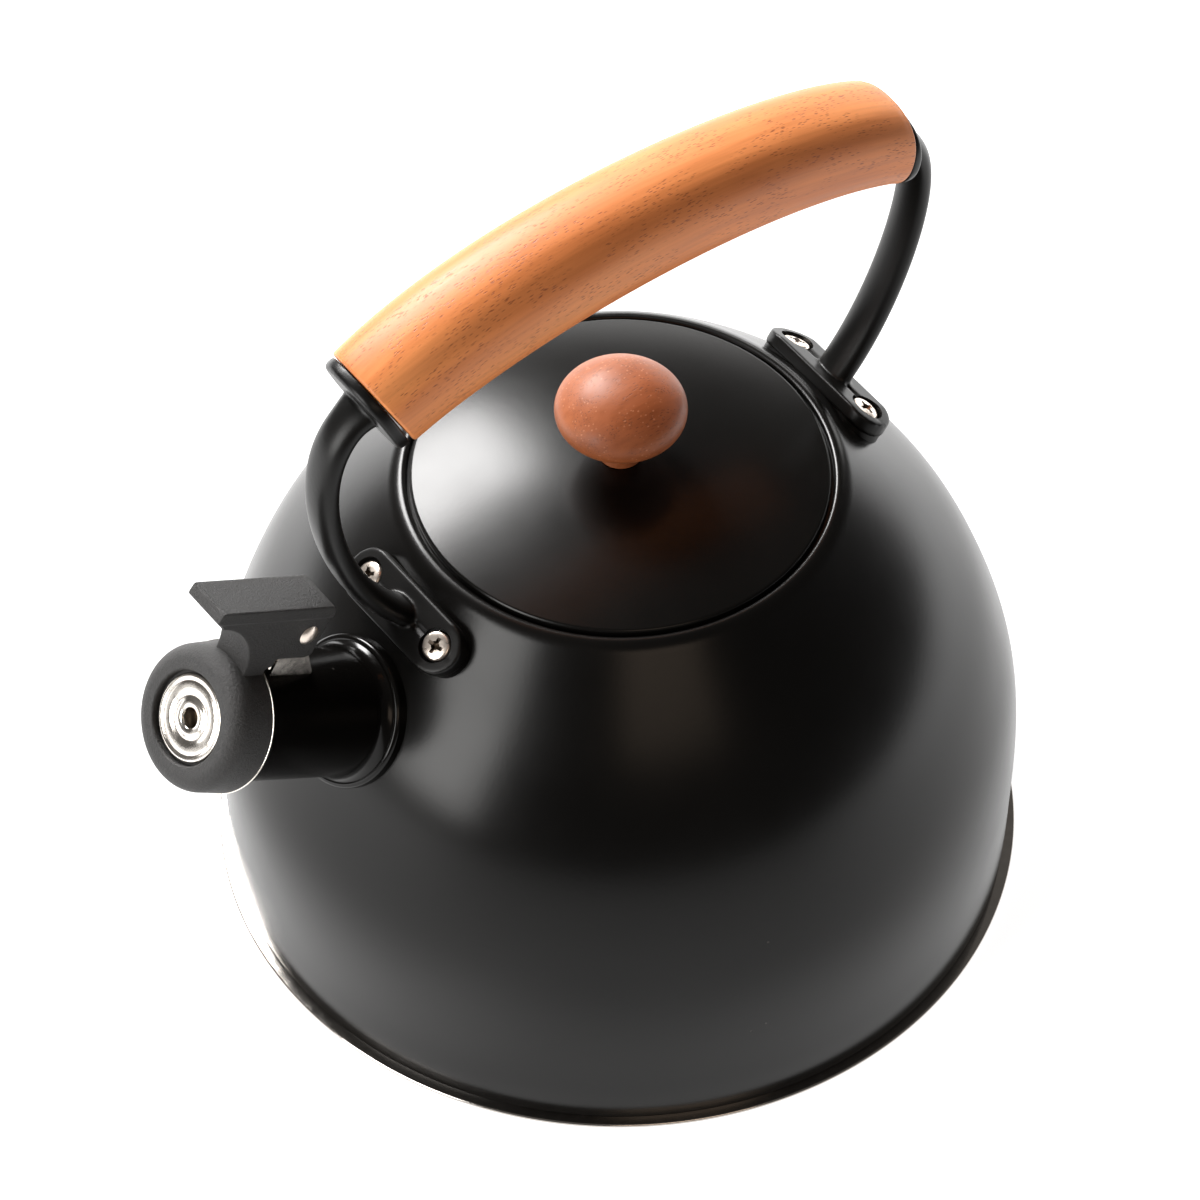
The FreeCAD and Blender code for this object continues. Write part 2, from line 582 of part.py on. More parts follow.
def lid_shell():
    edge, half, crown = lid_arc_points()
    low_edge, low_half, low_crown = lid_arc_points(SHEET)
    rim = rz(LID_RADIUS, LID_EDGE_TOP - LID_EDGE_ROUND)
    foot = rz(LID_RADIUS, LID_EDGE_BOTTOM)
    inner_foot = rz(LID_RADIUS - SHEET, LID_EDGE_BOTTOM)
    low_edge = rz(LID_RADIUS - SHEET, low_edge.z)
    bend = rz(LID_RADIUS - 0.12, LID_EDGE_TOP - 0.1)
    edges = [arc(crown, half, edge), arc(edge, bend, rim), line(rim, foot), line(foot, inner_foot),
             line(inner_foot, low_edge), arc(low_edge, low_half, low_crown), line(low_crown, crown)]
    shell = revolve_outline(edges)
    return shell.cut(Part.makeCylinder(KNOB_SCREW_RADIUS + 0.2, 20, rz(0, LID_EDGE_TOP)))


def lid_underside(radius):
    """Height of the lid's inner face at a radius."""
    low_crown = lid_arc_points(SHEET)[2]
    dome = (LID_RADIUS ** 2 + LID_RISE ** 2) / (2 * LID_RISE)
    return low_crown.z - dome + math.sqrt(dome ** 2 - radius ** 2)


def lid_skirt():
    """Ring under the lid that locates it in the filler neck."""
    inner = SKIRT_RADIUS - SHEET
    tab = inner - SKIRT_FLANGE
    points = [rz(SKIRT_RADIUS, SKIRT_BOTTOM), rz(SKIRT_RADIUS, lid_underside(SKIRT_RADIUS) - FIT),
              rz(tab, lid_underside(tab) - FIT), rz(tab, lid_underside(tab) - FIT - SHEET),
              rz(inner, lid_underside(inner) - FIT - SHEET), rz(inner, SKIRT_BOTTOM)]
    return ring(points)


def lid_knob():
    seat = LID_EDGE_TOP + LID_RISE + FIT
    points = [rz(*point) for point in KNOB_OUTLINE]
    foot = rz(KNOB_FOOT_RADIUS, seat)
    neck = arc(points[-1], rz(*KNOB_NECK), foot)
    edges = [spline(points).toShape(), neck, line(foot, rz(0, seat)), line(rz(0, seat), points[0])]
    hole = Part.makeCylinder(KNOB_SCREW_RADIUS + 0.02, KNOB_SCREW_DEPTH, rz(0, seat - 1))
    return revolve_outline(edges).cut(hole)


def washer_top():
    return LID_EDGE_TOP + LID_RISE - SHEET - 0.15


def knob_washer():
    top = washer_top()
    bottom = top - WASHER_THICKNESS
    bore = KNOB_SCREW_RADIUS + 0.2
    points = [rz(bore, top), rz(WASHER_RADIUS, top), rz(WASHER_RADIUS, bottom), rz(bore, bottom)]
    return ring(points)


def cross_recess(depth):
    """Cross-point driver recess, its mouth on Z = 0 and its point below."""
    wing = Part.makeBox(4.2, 0.9, depth, Vector(-2.1, -0.45, -depth))
    other = wing.copy()
    other.rotate(Vector(0, 0, 0), Z_AXIS, 90)
    core = Part.makeCone(0.5, 1.25, depth, Vector(0, 0, -depth), Z_AXIS)
    return wing.fuse([other, core])


def pan_head_screw(head_radius, head_height, shank_radius, shank_length):
    """Cross-point pan-head screw: the underside of the head is on Z = 0, and the shank points down."""
    crown = Vector(0, 0, head_height)
    rim = Vector(head_radius, 0, head_height * 0.4)
    bend = Vector(head_radius * 0.75, 0, head_height * 0.88)
    edges = [arc(crown, bend, rim), line(rim, Vector(head_radius, 0, 0)),
             line(Vector(head_radius, 0, 0), Vector(shank_radius, 0, 0)),
             line(Vector(shank_radius, 0, 0), Vector(shank_radius, 0, 0.4 - shank_length)),
             line(Vector(shank_radius, 0, 0.4 - shank_length), Vector(shank_radius - 0.4, 0, -shank_length)),
             line(Vector(shank_radius - 0.4, 0, -shank_length), Vector(0, 0, -shank_length)),
             line(Vector(0, 0, -shank_length), crown)]
    recess = cross_recess(head_height * 0.75)
    recess.translate(Vector(0, 0, head_height))
    return revolve_outline(edges).cut(recess)


def knob_screw():
    screw = pan_head_screw(*KNOB_SCREW_HEAD, KNOB_SCREW_RADIUS, KNOB_SCREW_LENGTH)
    screw.rotate(Vector(0, 0, 0), X_AXIS, 180)
    screw.translate(rz(0, washer_top() - WASHER_THICKNESS))
    return screw


# ---------------------------------------------------------------- handle
def foot_drum(height):
    """Drum that lies along a foot's X axis. Its skin is the dome raised by a height."""
    radius = DOME_RADIUS + height
    return Part.makeCylinder(radius, 200, Vector(-100, 0, -DOME_RADIUS), X_AXIS)


def at_foot_screws(shape):
    """Copies of a shape built over Z = 0 on the dome, at the two screws of a foot."""
    copies = []
    for angle in (FOOT_SCREW_ANGLE, -FOOT_SCREW_ANGLE):
        turned = shape.copy()
        turned.rotate(Vector(0, 0, -DOME_RADIUS), X_AXIS, angle)
        copies.append(turned)
    return copies


def foot_bracket(side, dome):
    """Pad welded to the dome under a foot. Its underside follows the dome."""
    place = foot_frame(side)
    pad = obround(FOOT_LENGTH - 1.0, FOOT_WIDTH - 1.0, 16.0)
    pad.translate(Vector(0, 0, -10.0))
    pad = pad.common(foot_drum(BRACKET_RISE))
    pad = pad.cut(at_foot_screws(Part.makeCylinder(SCREW_HOLE, 18, Vector(0, 0, -12))))
    return place(pad).cut(dome)


def arm_loft(poles):
    curve = bezier(poles)
    sections = []
    for station in range(ARM_STATIONS):
        t = station / (ARM_STATIONS - 1)
        tangent = curve.tangent(t)[0]
        sections.append(oval_section(curve.value(t), tangent, ARM_WIDTH, ARM_THICKNESS))
    return Part.makeLoft(sections, True, False)


def grip_end(which, tilts):
    """Centre of the grip's front (0) or rear (1) end, and the way out of it at that end's tilt."""
    angle = math.radians(tilts[which])
    outward = Vector(math.cos(angle) * (1 - 2 * which), 0, -math.sin(angle))
    return bezier(GRIP_POLES).value(which), outward


def grip_flange(which):
    """Plate that closes an end of the grip. It meets the wood at the lower edge."""
    centre, outward = grip_end(which, FLANGE_TILTS)
    width, height = FLANGE_SIZES[which]
    lean = math.radians(GRIP_END_TILTS[which] - FLANGE_TILTS[which])
    down = Vector(outward.z, 0, -outward.x) * (1 - 2 * which)
    start = centre + outward * (0.1 + height / 2 * math.sin(lean)) + down * FLANGE_DROPS[which]
    outline = oval_section(start, outward, width, height, GRIP_SQUARENESS)
    plate = Part.Face(outline).extrude(outward * FLANGE_THICKNESS)
    far_face = start + outward * FLANGE_THICKNESS
    rim = [edge for edge in plate.Edges if abs((edge.CenterOfMass - far_face).dot(outward)) < 0.05]
    return plate.makeFillet(FLANGE_EDGE, rim)


def handle_arm(side, poles):
    """One casting: foot plate, arm and grip flange."""
    place = foot_frame(side)
    which = 0 if side > 0 else 1
    top = BRACKET_RISE + FOOT_THICKNESS
    foot = obround(FOOT_LENGTH, FOOT_WIDTH, 20.0)
    foot.translate(Vector(0, 0, -10.0))
    foot = foot.common(foot_drum(top)).cut(foot_drum(BRACKET_RISE))
    rim = edges_near(foot, lambda p: abs(math.hypot(p.y, p.z + DOME_RADIUS) - DOME_RADIUS - top) < 0.8)
    foot = foot.makeFillet(FOOT_EDGE, rim)
    casting = place(foot).fuse([arm_loft(poles), grip_flange(which)])
    floor = top - SCREW_HEAD_SINK - SCREW_HEAD_HEIGHT
    for counterbore in at_foot_screws(Part.makeCylinder(COUNTERBORE_RADIUS, 10, Vector(0, 0, floor))):
        casting = casting.cut(place(counterbore))
    for hole in at_foot_screws(Part.makeCylinder(SCREW_HOLE, 20, Vector(0, 0, -5))):
        casting = casting.cut(place(hole))
    return casting.cut([stud_hole(which), place(foot_drum(BRACKET_RISE))]).removeSplitter()


def foot_screws(side):
    place = foot_frame(side)
    floor = BRACKET_RISE + FOOT_THICKNESS - SCREW_HEAD_SINK - SCREW_HEAD_HEIGHT
    screw = pan_head_screw(SCREW_HEAD_RADIUS, SCREW_HEAD_HEIGHT, SCREW_RADIUS, floor - 0.4)
    screw.rotate(Vector(0, 0, 0), Z_AXIS, 20)
    screw.translate(Vector(0, 0, floor))
    return [place(turned) for turned in at_foot_screws(screw)]


def stud_hole(which):
    """Bore for a grip stud: through the flange to its head, and into the wood."""
    centre, outward = grip_end(which, FLANGE_TILTS)
    start = centre + outward * (STUD_HEAD_DEPTH - 0.02)
    return Part.makeCylinder(STUD_RADIUS + 0.02, STUD_LENGTH + STUD_HEAD_DEPTH, start, outward * -1)


def grip_stud(which):
    """Threaded stud that joins an arm's flange to the wood."""
    centre, outward = grip_end(which, FLANGE_TILTS)
    start = centre + outward * (STUD_HEAD_DEPTH - 0.1)
    return Part.makeCylinder(STUD_RADIUS, STUD_LENGTH + STUD_HEAD_DEPTH - 2.0, start, outward * -1)


def handle_grip():
    """Bent wooden grip, cut square to each flange's side of the arch."""
    curve = bezier(GRIP_POLES)
    sections = []
    last = len(GRIP_WIDTHS) - 1
    for index, (width, height) in enumerate(zip(GRIP_WIDTHS, GRIP_HEIGHTS)):
        along = curve.tangent(index / last)[0]
        if index == 0:
            along = grip_end(0, GRIP_END_TILTS)[1] * -1
        if index == last:
            along = grip_end(1, GRIP_END_TILTS)[1]
        centre = curve.value(index / last)
        sections.append(oval_section(centre, along, width, height, GRIP_SQUARENESS))
    return Part.makeLoft(sections, True, False).cut([stud_hole(0), stud_hole(1)])


def main():
    dome = solid_dome()
    export("body_shell", body_shell())
    export("filler_neck", filler_neck())
    export("base_pan", base_pan())
    export("heat_spreader", heat_spreader())
    export("base_cover", base_cover())
    export("spout_tube", spout_tube(dome))
    export("spout_collar", spout_collar(dome))
    export("hinge_bracket", hinge_bracket())
    export("hinge_pin", hinge_pin())
    export("hinge_spring", hinge_spring())
    export("cap_body", cap_body())
    export("cap_liner", cap_liner())
    export("whistle_face", whistle_face())
    export("whistle_back", whistle_back())
    export("cap_seal", cap_seal())
    export("lid_shell", lid_shell())
    export("lid_skirt", lid_skirt())
    export("lid_knob", lid_knob())
    export("knob_washer", knob_washer())
    export("knob_screw", knob_screw())
    for name, side, poles in (("front", 1, FRONT_ARM_POLES), ("rear", -1, REAR_ARM_POLES)):
        export(f"{name}_bracket", foot_bracket(side, dome))
        export(f"{name}_arm", handle_arm(side, poles))
        export(f"{name}_foot_screws", *foot_screws(side))
        export(f"{name}_grip_stud", grip_stud(0 if side > 0 else 1))
    export("handle_grip", handle_grip())


main()
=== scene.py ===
"""Looks of the stovetop whistling kettle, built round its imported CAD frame.

Shapes are written in millimetres and scaled by MM when a mesh is made. Lights, the camera and the
materials' bumps are in metres.
"""

import math

import bmesh
import bpy
import numpy as np
from mathutils import Matrix, Vector


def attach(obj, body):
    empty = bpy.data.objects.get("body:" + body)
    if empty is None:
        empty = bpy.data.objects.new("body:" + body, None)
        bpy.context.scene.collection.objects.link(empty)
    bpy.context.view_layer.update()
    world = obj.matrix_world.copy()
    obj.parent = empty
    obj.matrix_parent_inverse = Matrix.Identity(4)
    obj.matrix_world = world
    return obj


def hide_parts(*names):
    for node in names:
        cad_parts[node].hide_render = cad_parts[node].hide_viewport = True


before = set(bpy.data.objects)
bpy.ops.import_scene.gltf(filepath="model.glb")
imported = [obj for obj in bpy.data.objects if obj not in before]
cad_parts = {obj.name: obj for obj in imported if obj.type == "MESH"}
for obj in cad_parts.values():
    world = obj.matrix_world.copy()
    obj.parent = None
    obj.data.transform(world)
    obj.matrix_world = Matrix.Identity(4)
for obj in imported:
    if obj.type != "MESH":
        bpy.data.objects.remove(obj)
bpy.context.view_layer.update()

MM = 0.001

SHEET = 0.8                   # steel of the body, the lid and the spout
FIT = 0.05                    # gap between pieces that are pressed or welded together

# base
RIM_RADIUS = 110.6            # polished rim, the widest part of the kettle
RIM_BOTTOM, RIM_TOP = 0.8, 2.0
RIM_ROUND = 0.55
PAN_RADIUS = 103.0            # step up from the rim to the kettle's floor
PAN_FLOOR = 5.0

# body, mouth and filler neck: (radius, height) from the foot up to the shoulder of the mouth
BODY_OUTLINE = [(107.6, 2.0), (108.0, 6.5), (108.4, 18.0), (108.8, 40.0), (107.3, 60.0),
                (102.6, 77.0), (95.0, 95.0), (83.8, 112.0), (70.0, 127.5), (59.6, 138.3)]
SHOULDER_RADIUS = 61.2        # where the dome gives way to the rolled mouth
HEM_RADIUS = 59.9             # where the rolled mouth meets the dome
MOUTH_RADIUS = 56.0           # recess that the lid drops into
LEDGE_HEIGHT = 137.8          # shelf under the lid's edge
NECK_RADIUS = 47.4
NECK_BOTTOM = 131.5

# lid
LID_RADIUS = 55.2
LID_EDGE_TOP = 139.9
LID_EDGE_BOTTOM = 138.1
LID_RISE = 7.4                # crown above the edge

# spout and whistle cap, in the spout's frame: u along its axis, from the whistle's outer face, and
# v square to it in the XZ plane
SPOUT_TILT = 33.0
SPOUT_ORIGIN = (136.0, 0.0, 135.9)
TUBE_RADIUS = 16.9
TUBE_BORE = 16.1
TUBE_END = -7.5
TUBE_ROOT = -66.0
LIP_RADIUS = 17.25
LIP_LENGTH = 1.4
COLLAR_RADIUS = 20.2
COLLAR_TOP = -51.0
CAP_REAR_RADIUS = 19.55
CAP_FRONT_RADIUS = 19.1
CAP_REAR = -10.6
CAP_FRONT = 1.2
CAP_EDGE = 4.4                # radius of the rounded front edge
CAP_BORE = 18.55
CAP_WALL_BACK = -3.5
CAP_OPENING = 9.5             # hole that the whistle's barrel sits in
LINER_SHEET = 0.4
WHISTLE_RECESS = 12.3
WHISTLE_SEAT = -1.0
LEVER_HALF_WIDTH = 6.3
PAD_HALF_WIDTH = 6.9
PAD_UNDERSIDE = 36.2
SCOOP_CENTRE = (12.0, 17.3)
SCOOP_RADIUS = 15.8
SLOT_HALF_WIDTH = 4.7

# grip, (x, z) Bezier poles from its front end, and its widths and heights at even steps along it
GRIP_POLES = [(76.5, 217.2), (33.9, 238.0), (-48.7, 233.7), (-82.6, 216.1)]
GRIP_WIDTHS = [28.6, 29.6, 29.9, 29.6, 29.2, 29.2, 29.4]
GRIP_HEIGHTS = [28.4, 29.4, 29.4, 28.9, 28.0, 26.4, 24.0]
GRIP_SQUARENESS = 2.28        # 2 is an ellipse
GRIP_TILTS = (26.0, 13.0)     # how far the front and rear ends face below the horizontal
GRIP_EDGE = 0.9               # radius of the end edges

# arms, (x, z) Bezier poles from the grip to the foot
FRONT_ARM = [(79.4, 216.0), (92.8, 210.9), (99.2, 194.8), (92.5, 155.2), (69.8, 132.4)]
REAR_ARM = [(-83.9, 213.5), (-103.2, 207.8), (-96.6, 175.2), (-85.1, 146.2), (-69.4, 131.6)]
ARM_WIDTH, ARM_DEPTH = 11.3, 6.6
ARM_SQUARENESS = 2.15
FLANGE_THICKNESS = 3.4        # of the plates that the grip's ends are bolted to
FLANGE_EDGE = 1.3
FRONT_FLANGE = ((77.1, 216.93), 23.6, 27.2, 27.2)    # middle, tilt, width and height
REAR_FLANGE = ((-82.25, 214.13), 13.0, 28.4, 20.4)

# feet: plates that are curved across, along Y, to follow the dome, and their screws
FOOT_ANGLE = 54.0             # the plate's normal above the horizontal
FOOT_BASE = (68.05, 129.7)    # (x, z) of its middle, on the dome
DOME_RADIUS = 92.0            # of the dome across the foot
FOOT_LENGTH, FOOT_WIDTH = 45.0, 14.8
FOOT_LOW, FOOT_HIGH = 1.85, 5.7
COUNTERBORE_RADIUS = 4.7
COUNTERBORE_FLOOR, COUNTERBORE_TOP = 3.45, 9.0
SCREW_ANGLE = 8.95            # round the dome, from the foot's middle to a screw
SCREW_SEAT = 3.5              # underside of a screw's head above the dome
SCREW_HEAD_RADIUS = 4.1
SCREW_HEAD_HEIGHT = 1.7
SHANK_RADIUS = 1.95


# ---------------------------------------------------------------- node material helpers
def new_material(name):
    material = bpy.data.materials.new(name)
    material.use_nodes = True
    tree = material.node_tree
    return material, tree, tree.nodes["Principled BSDF"]


def add(tree, kind, **values):
    """A new node. Values name its settings, or its inputs when they start with in_."""
    node = tree.nodes.new(kind)
    for key, value in values.items():
        if key.startswith("in_"):
            node.inputs[key[3:].replace("_", " ")].default_value = value
        else:
            setattr(node, key, value)
    return node


def coordinates(tree, scale=(1, 1, 1), attribute=None):
    """Object coordinates, or a stored vector of the mesh, stretched by scale."""
    if attribute:
        source = add(tree, "ShaderNodeAttribute", attribute_name=attribute).outputs["Vector"]
    else:
        source = add(tree, "ShaderNodeTexCoord").outputs["Object"]
    mapping = add(tree, "ShaderNodeMapping", in_Scale=scale)
    tree.links.new(source, mapping.inputs["Vector"])
    return mapping.outputs["Vector"]


def noise(tree, vector, scale, detail=3.0, rough=0.5):
    node = add(tree, "ShaderNodeTexNoise", in_Scale=scale, in_Detail=detail, in_Roughness=rough)
    tree.links.new(vector, node.inputs["Vector"])
    return node.outputs["Fac"]


def ramp(tree, factor, stops):
    node = add(tree, "ShaderNodeValToRGB")
    elements = node.color_ramp.elements
    while len(elements) < len(stops):
        elements.new(0.5)
    for element, (place, colour) in zip(elements, stops):
        element.position = place
        element.color = (*colour, 1.0) if len(colour) == 3 else colour
    tree.links.new(factor, node.inputs["Fac"])
    return node.outputs["Color"]


def grey_ramp(tree, factor, stops):
    return ramp(tree, factor, [(place, (value,) * 3) for place, value in stops])


def mix(tree, factor, first, second, mode="MIX"):
    node = add(tree, "ShaderNodeMix", data_type="RGBA", blend_type=mode)
    for socket, value in ((node.inputs[0], factor), (node.inputs[6], first), (node.inputs[7], second)):
        if isinstance(value, bpy.types.NodeSocket):
            tree.links.new(value, socket)
        elif isinstance(value, tuple):
            socket.default_value = (*value, 1.0) if len(value) == 3 else value
        else:
            socket.default_value = value
    return node.outputs[2]


def bump(tree, shader, height, distance, strength=1.0, previous=None):
    node = add(tree, "ShaderNodeBump", in_Distance=distance, in_Strength=strength)
    tree.links.new(height, node.inputs["Height"])
    if previous is not None:
        tree.links.new(previous, node.inputs["Normal"])
    tree.links.new(node.outputs["Normal"], shader.inputs["Normal"])
    return node.outputs["Normal"]


def black_paint(name, roughness=0.3, grain=0.00003):
    """Satin black enamel with a faint orange peel and a few specks of dust."""
    material, tree, shader = new_material(name)
    vector = coordinates(tree)
    tone = noise(tree, vector, 22.0, 3.0)
    base = ramp(tree, tone, [(0.3, (0.0018, 0.0016, 0.0014)), (0.75, (0.003, 0.0027, 0.0024))])
    cells = add(tree, "ShaderNodeTexVoronoi", feature="F1", in_Scale=95.0)
    tree.links.new(vector, cells.inputs["Vector"])
    dust = grey_ramp(tree, cells.outputs["Distance"], [(0.0, 1.0), (0.028, 1.0), (0.04, 0.0)])
    patches = grey_ramp(tree, noise(tree, vector, 9.0, 1.0), [(0.53, 0.0), (0.6, 1.0)])
    dust = mix(tree, 1.0, dust, patches, "MULTIPLY")
    colour = mix(tree, dust, base, (0.055, 0.05, 0.045))
    tree.links.new(colour, shader.inputs["Base Color"])
    sheen = noise(tree, vector, 60.0, 2.0)
    gloss = grey_ramp(tree, sheen, [(0.2, roughness - 0.02), (0.8, roughness + 0.02)])
    tree.links.new(gloss, shader.inputs["Roughness"])
    shader.inputs["Specular IOR Level"].default_value = 0.23
    bump(tree, shader, noise(tree, vector, 900.0, 2.0), grain, 0.35)
    return material


def metal(name, colour, roughness, streak=(1, 1, 1), grain=400.0, depth=0.000004):
    """Polished or brushed steel with faint drawing lines."""
    material, tree, shader = new_material(name)
    vector = coordinates(tree, streak)
    lines = noise(tree, vector, grain, 4.0, 0.6)
    dark = tuple(c * 0.9 for c in colour)
    tree.links.new(ramp(tree, lines, [(0.3, dark), (0.7, colour)]), shader.inputs["Base Color"])
    shader.inputs["Metallic"].default_value = 1.0
    gloss = grey_ramp(tree, lines, [(0.25, max(roughness - 0.05, 0.03)), (0.75, roughness + 0.05)])
    tree.links.new(gloss, shader.inputs["Roughness"])
    bump(tree, shader, lines, depth, 0.3)
    return material


def black_plastic(name):
    """Matte black moulding with a fine spark-eroded texture."""
    material, tree, shader = new_material(name)
    vector = coordinates(tree)
    grains = noise(tree, vector, 1300.0, 4.0, 0.75)
    colour = ramp(tree, grains, [(0.34, (0.005, 0.0047, 0.0046)), (0.68, (0.027, 0.0255, 0.025))])
    tree.links.new(colour, shader.inputs["Base Color"])
    gloss = grey_ramp(tree, grains, [(0.3, 0.5), (0.7, 0.62)])
    tree.links.new(gloss, shader.inputs["Roughness"])
    bump(tree, shader, grains, 0.0005, 0.8)
    return material


def silicone(name):
    material, tree, shader = new_material(name)
    cloud = noise(tree, coordinates(tree), 300.0, 2.0)
    tree.links.new(ramp(tree, cloud, [(0.3, (0.6, 0.6, 0.58)), (0.7, (0.66, 0.66, 0.64))]),
                   shader.inputs["Base Color"])
    shader.inputs["Roughness"].default_value = 0.5
    bump(tree, shader, cloud, 0.00002, 0.3)
    return material


def wood(name, attribute, light, middle, dark, pores, flecks=0.0):
    """Open-pored hardwood under a satin lacquer. The grain runs along the stored vector's X."""
    material, tree, shader = new_material(name)
    figure = noise(tree, coordinates(tree, (9, 60, 60), attribute), 1.0, 5.0, 0.55)
    colour = ramp(tree, figure, [(0.25, dark), (0.48, middle), (0.72, light)])
    streaks = noise(tree, coordinates(tree, (22, 620, 620), attribute), 1.0, 4.0, 0.6)
    streak_tone = ramp(tree, streaks, [(0.3, (0.72, 0.66, 0.6)), (0.62, (1.06, 1.05, 1.04))])
    colour = mix(tree, 0.55, colour, streak_tone, "MULTIPLY")
    patch = noise(tree, coordinates(tree, (16, 26, 26), attribute), 1.0, 2.0)
    patch_tone = ramp(tree, patch, [(0.3, (0.86, 0.8, 0.74)), (0.7, (1.1, 1.1, 1.1))])
    colour = mix(tree, 0.6, colour, patch_tone, "MULTIPLY")
    cells = add(tree, "ShaderNodeTexVoronoi", feature="F1", in_Scale=1.0, in_Randomness=1.0)
    tree.links.new(coordinates(tree, (400, 2300, 2300), attribute), cells.inputs["Vector"])
    spots = grey_ramp(tree, cells.outputs["Distance"], [(0.0, 1.0), (0.14, 1.0), (0.34, 0.0)])
    gate = noise(tree, coordinates(tree, (60, 180, 180), attribute), 1.0, 2.0)
    spots = mix(tree, 1.0, spots, grey_ramp(tree, gate, [(0.42, 0.0), (0.56, 1.0)]), "MULTIPLY")
    colour = mix(tree, spots, colour, pores)
    if flecks:
        bright = add(tree, "ShaderNodeTexVoronoi", feature="F1", in_Scale=1.0)
        tree.links.new(coordinates(tree, (700, 1000, 1000), attribute), bright.inputs["Vector"])
        points = grey_ramp(tree, bright.outputs["Distance"], [(0.0, flecks), (0.14, flecks), (0.26, 0.0)])
        zone = noise(tree, coordinates(tree, (90, 90, 90), attribute), 1.0, 2.0)
        points = mix(tree, 1.0, points, grey_ramp(tree, zone, [(0.48, 0.0), (0.58, 1.0)]), "MULTIPLY")
        colour = mix(tree, points, colour, (0.75, 0.36, 0.2))
    tree.links.new(colour, shader.inputs["Base Color"])
    shader.inputs["Specular IOR Level"].default_value = 0.42
    gloss = grey_ramp(tree, streaks, [(0.3, 0.42), (0.7, 0.54)])
    tree.links.new(gloss, shader.inputs["Roughness"])
    normal = bump(tree, shader, streaks, 0.00003, 0.35)
    sunk = add(tree, "ShaderNodeMath", operation="SUBTRACT", use_clamp=True)
    sunk.inputs[0].default_value = 1.0
    tree.links.new(spots, sunk.inputs[1])
    bump(tree, shader, sunk.outputs[0], 0.00006, 0.5, normal)
    return material


PAINT = black_paint("satin_black_paint", 0.25)
CAST_PAINT = black_paint("cast_black_paint", 0.36, 0.00005)
TUBE_PAINT = black_paint("gloss_black_paint", 0.17, 0.00001)
STEEL = metal("polished_steel", (0.8, 0.75, 0.69), 0.2)
RIM_STEEL = metal("rim_steel", (0.68, 0.64, 0.6), 0.13, (1, 1, 8))
SCREW_STEEL = metal("screw_steel", (0.88, 0.78, 0.69), 0.3, (1, 1, 1), 700.0)
# dark steel that paints the shade inside the screws' cross recesses
PAINTED_SHADE_RECESS_STEEL = metal("painted_shade_recess_steel", (0.05, 0.036, 0.026), 0.45, (1, 1, 1), 700.0)
BRUSHED = metal("brushed_steel", (0.62, 0.6, 0.57), 0.32, (1, 1, 20), 120.0)
ALUMINIUM = metal("spun_aluminium", (0.72, 0.72, 0.73), 0.35)
PLASTIC = black_plastic("textured_black_plastic")
SILICONE = silicone("white_silicone")
GRIP_WOOD = wood("oiled_grip_wood", "grain", light=(0.77, 0.295, 0.095), middle=(0.65, 0.218, 0.063),
                 dark=(0.51, 0.152, 0.04), pores=(0.22, 0.052, 0.015))
KNOB_WOOD = wood("oiled_knob_wood", "grain", light=(0.35, 0.108, 0.034), middle=(0.285, 0.081, 0.024),
                 dark=(0.215, 0.057, 0.016), pores=(0.13, 0.034, 0.01), flecks=0.3)


# ---------------------------------------------------------------- mesh helpers
def spline(points, count):
    """Natural cubic spline through the points, sampled evenly by chord length."""
    points = np.array(points, float)
    knots = np.r_[0, np.cumsum(np.linalg.norm(np.diff(points, axis=0), axis=1))]
    n = len(points)
    gaps = np.diff(knots)
    matrix = np.eye(n)
    right = np.zeros_like(points)
    for i in range(1, n - 1):
        matrix[i, i - 1:i + 2] = gaps[i - 1], 2 * (gaps[i - 1] + gaps[i]), gaps[i]
        right[i] = 6 * ((points[i + 1] - points[i]) / gaps[i] - (points[i] - points[i - 1]) / gaps[i - 1])
    curve = np.linalg.solve(matrix, right)
    out = []
    for s in np.linspace(0, knots[-1], count):
        i = min(max(int(np.searchsorted(knots, s)) - 1, 0), n - 2)
        a, b, h = knots[i + 1] - s, s - knots[i], gaps[i]
        out.append(curve[i] * a ** 3 / (6 * h) + curve[i + 1] * b ** 3 / (6 * h)
                   + (points[i] / h - curve[i] * h / 6) * a + (points[i + 1] / h - curve[i + 1] * h / 6) * b)
    return [tuple(p) for p in out]


def arc(start, middle, end, count=10):
    """Points of the circle through three points, from start to end."""
    (ax, ay), (bx, by), (cx, cy) = start, middle, end
    a2, b2, c2 = ax ** 2 + ay ** 2, bx ** 2 + by ** 2, cx ** 2 + cy ** 2
    d = 2 * (ax * (by - cy) + bx * (cy - ay) + cx * (ay - by))
    ux = (a2 * (by - cy) + b2 * (cy - ay) + c2 * (ay - by)) / d
    uy = (a2 * (cx - bx) + b2 * (ax - cx) + c2 * (bx - ax)) / d
    radius = math.hypot(ax - ux, ay - uy)
    first = math.atan2(ay - uy, ax - ux)
    turn_mid = (math.atan2(by - uy, bx - ux) - first) % math.tau
    turn = (math.atan2(cy - uy, cx - ux) - first) % math.tau
    if turn_mid > turn:
        turn -= math.tau
    angles = [first + turn * i / count for i in range(count + 1)]
    return [(ux + radius * math.cos(angle), uy + radius * math.sin(angle)) for angle in angles]


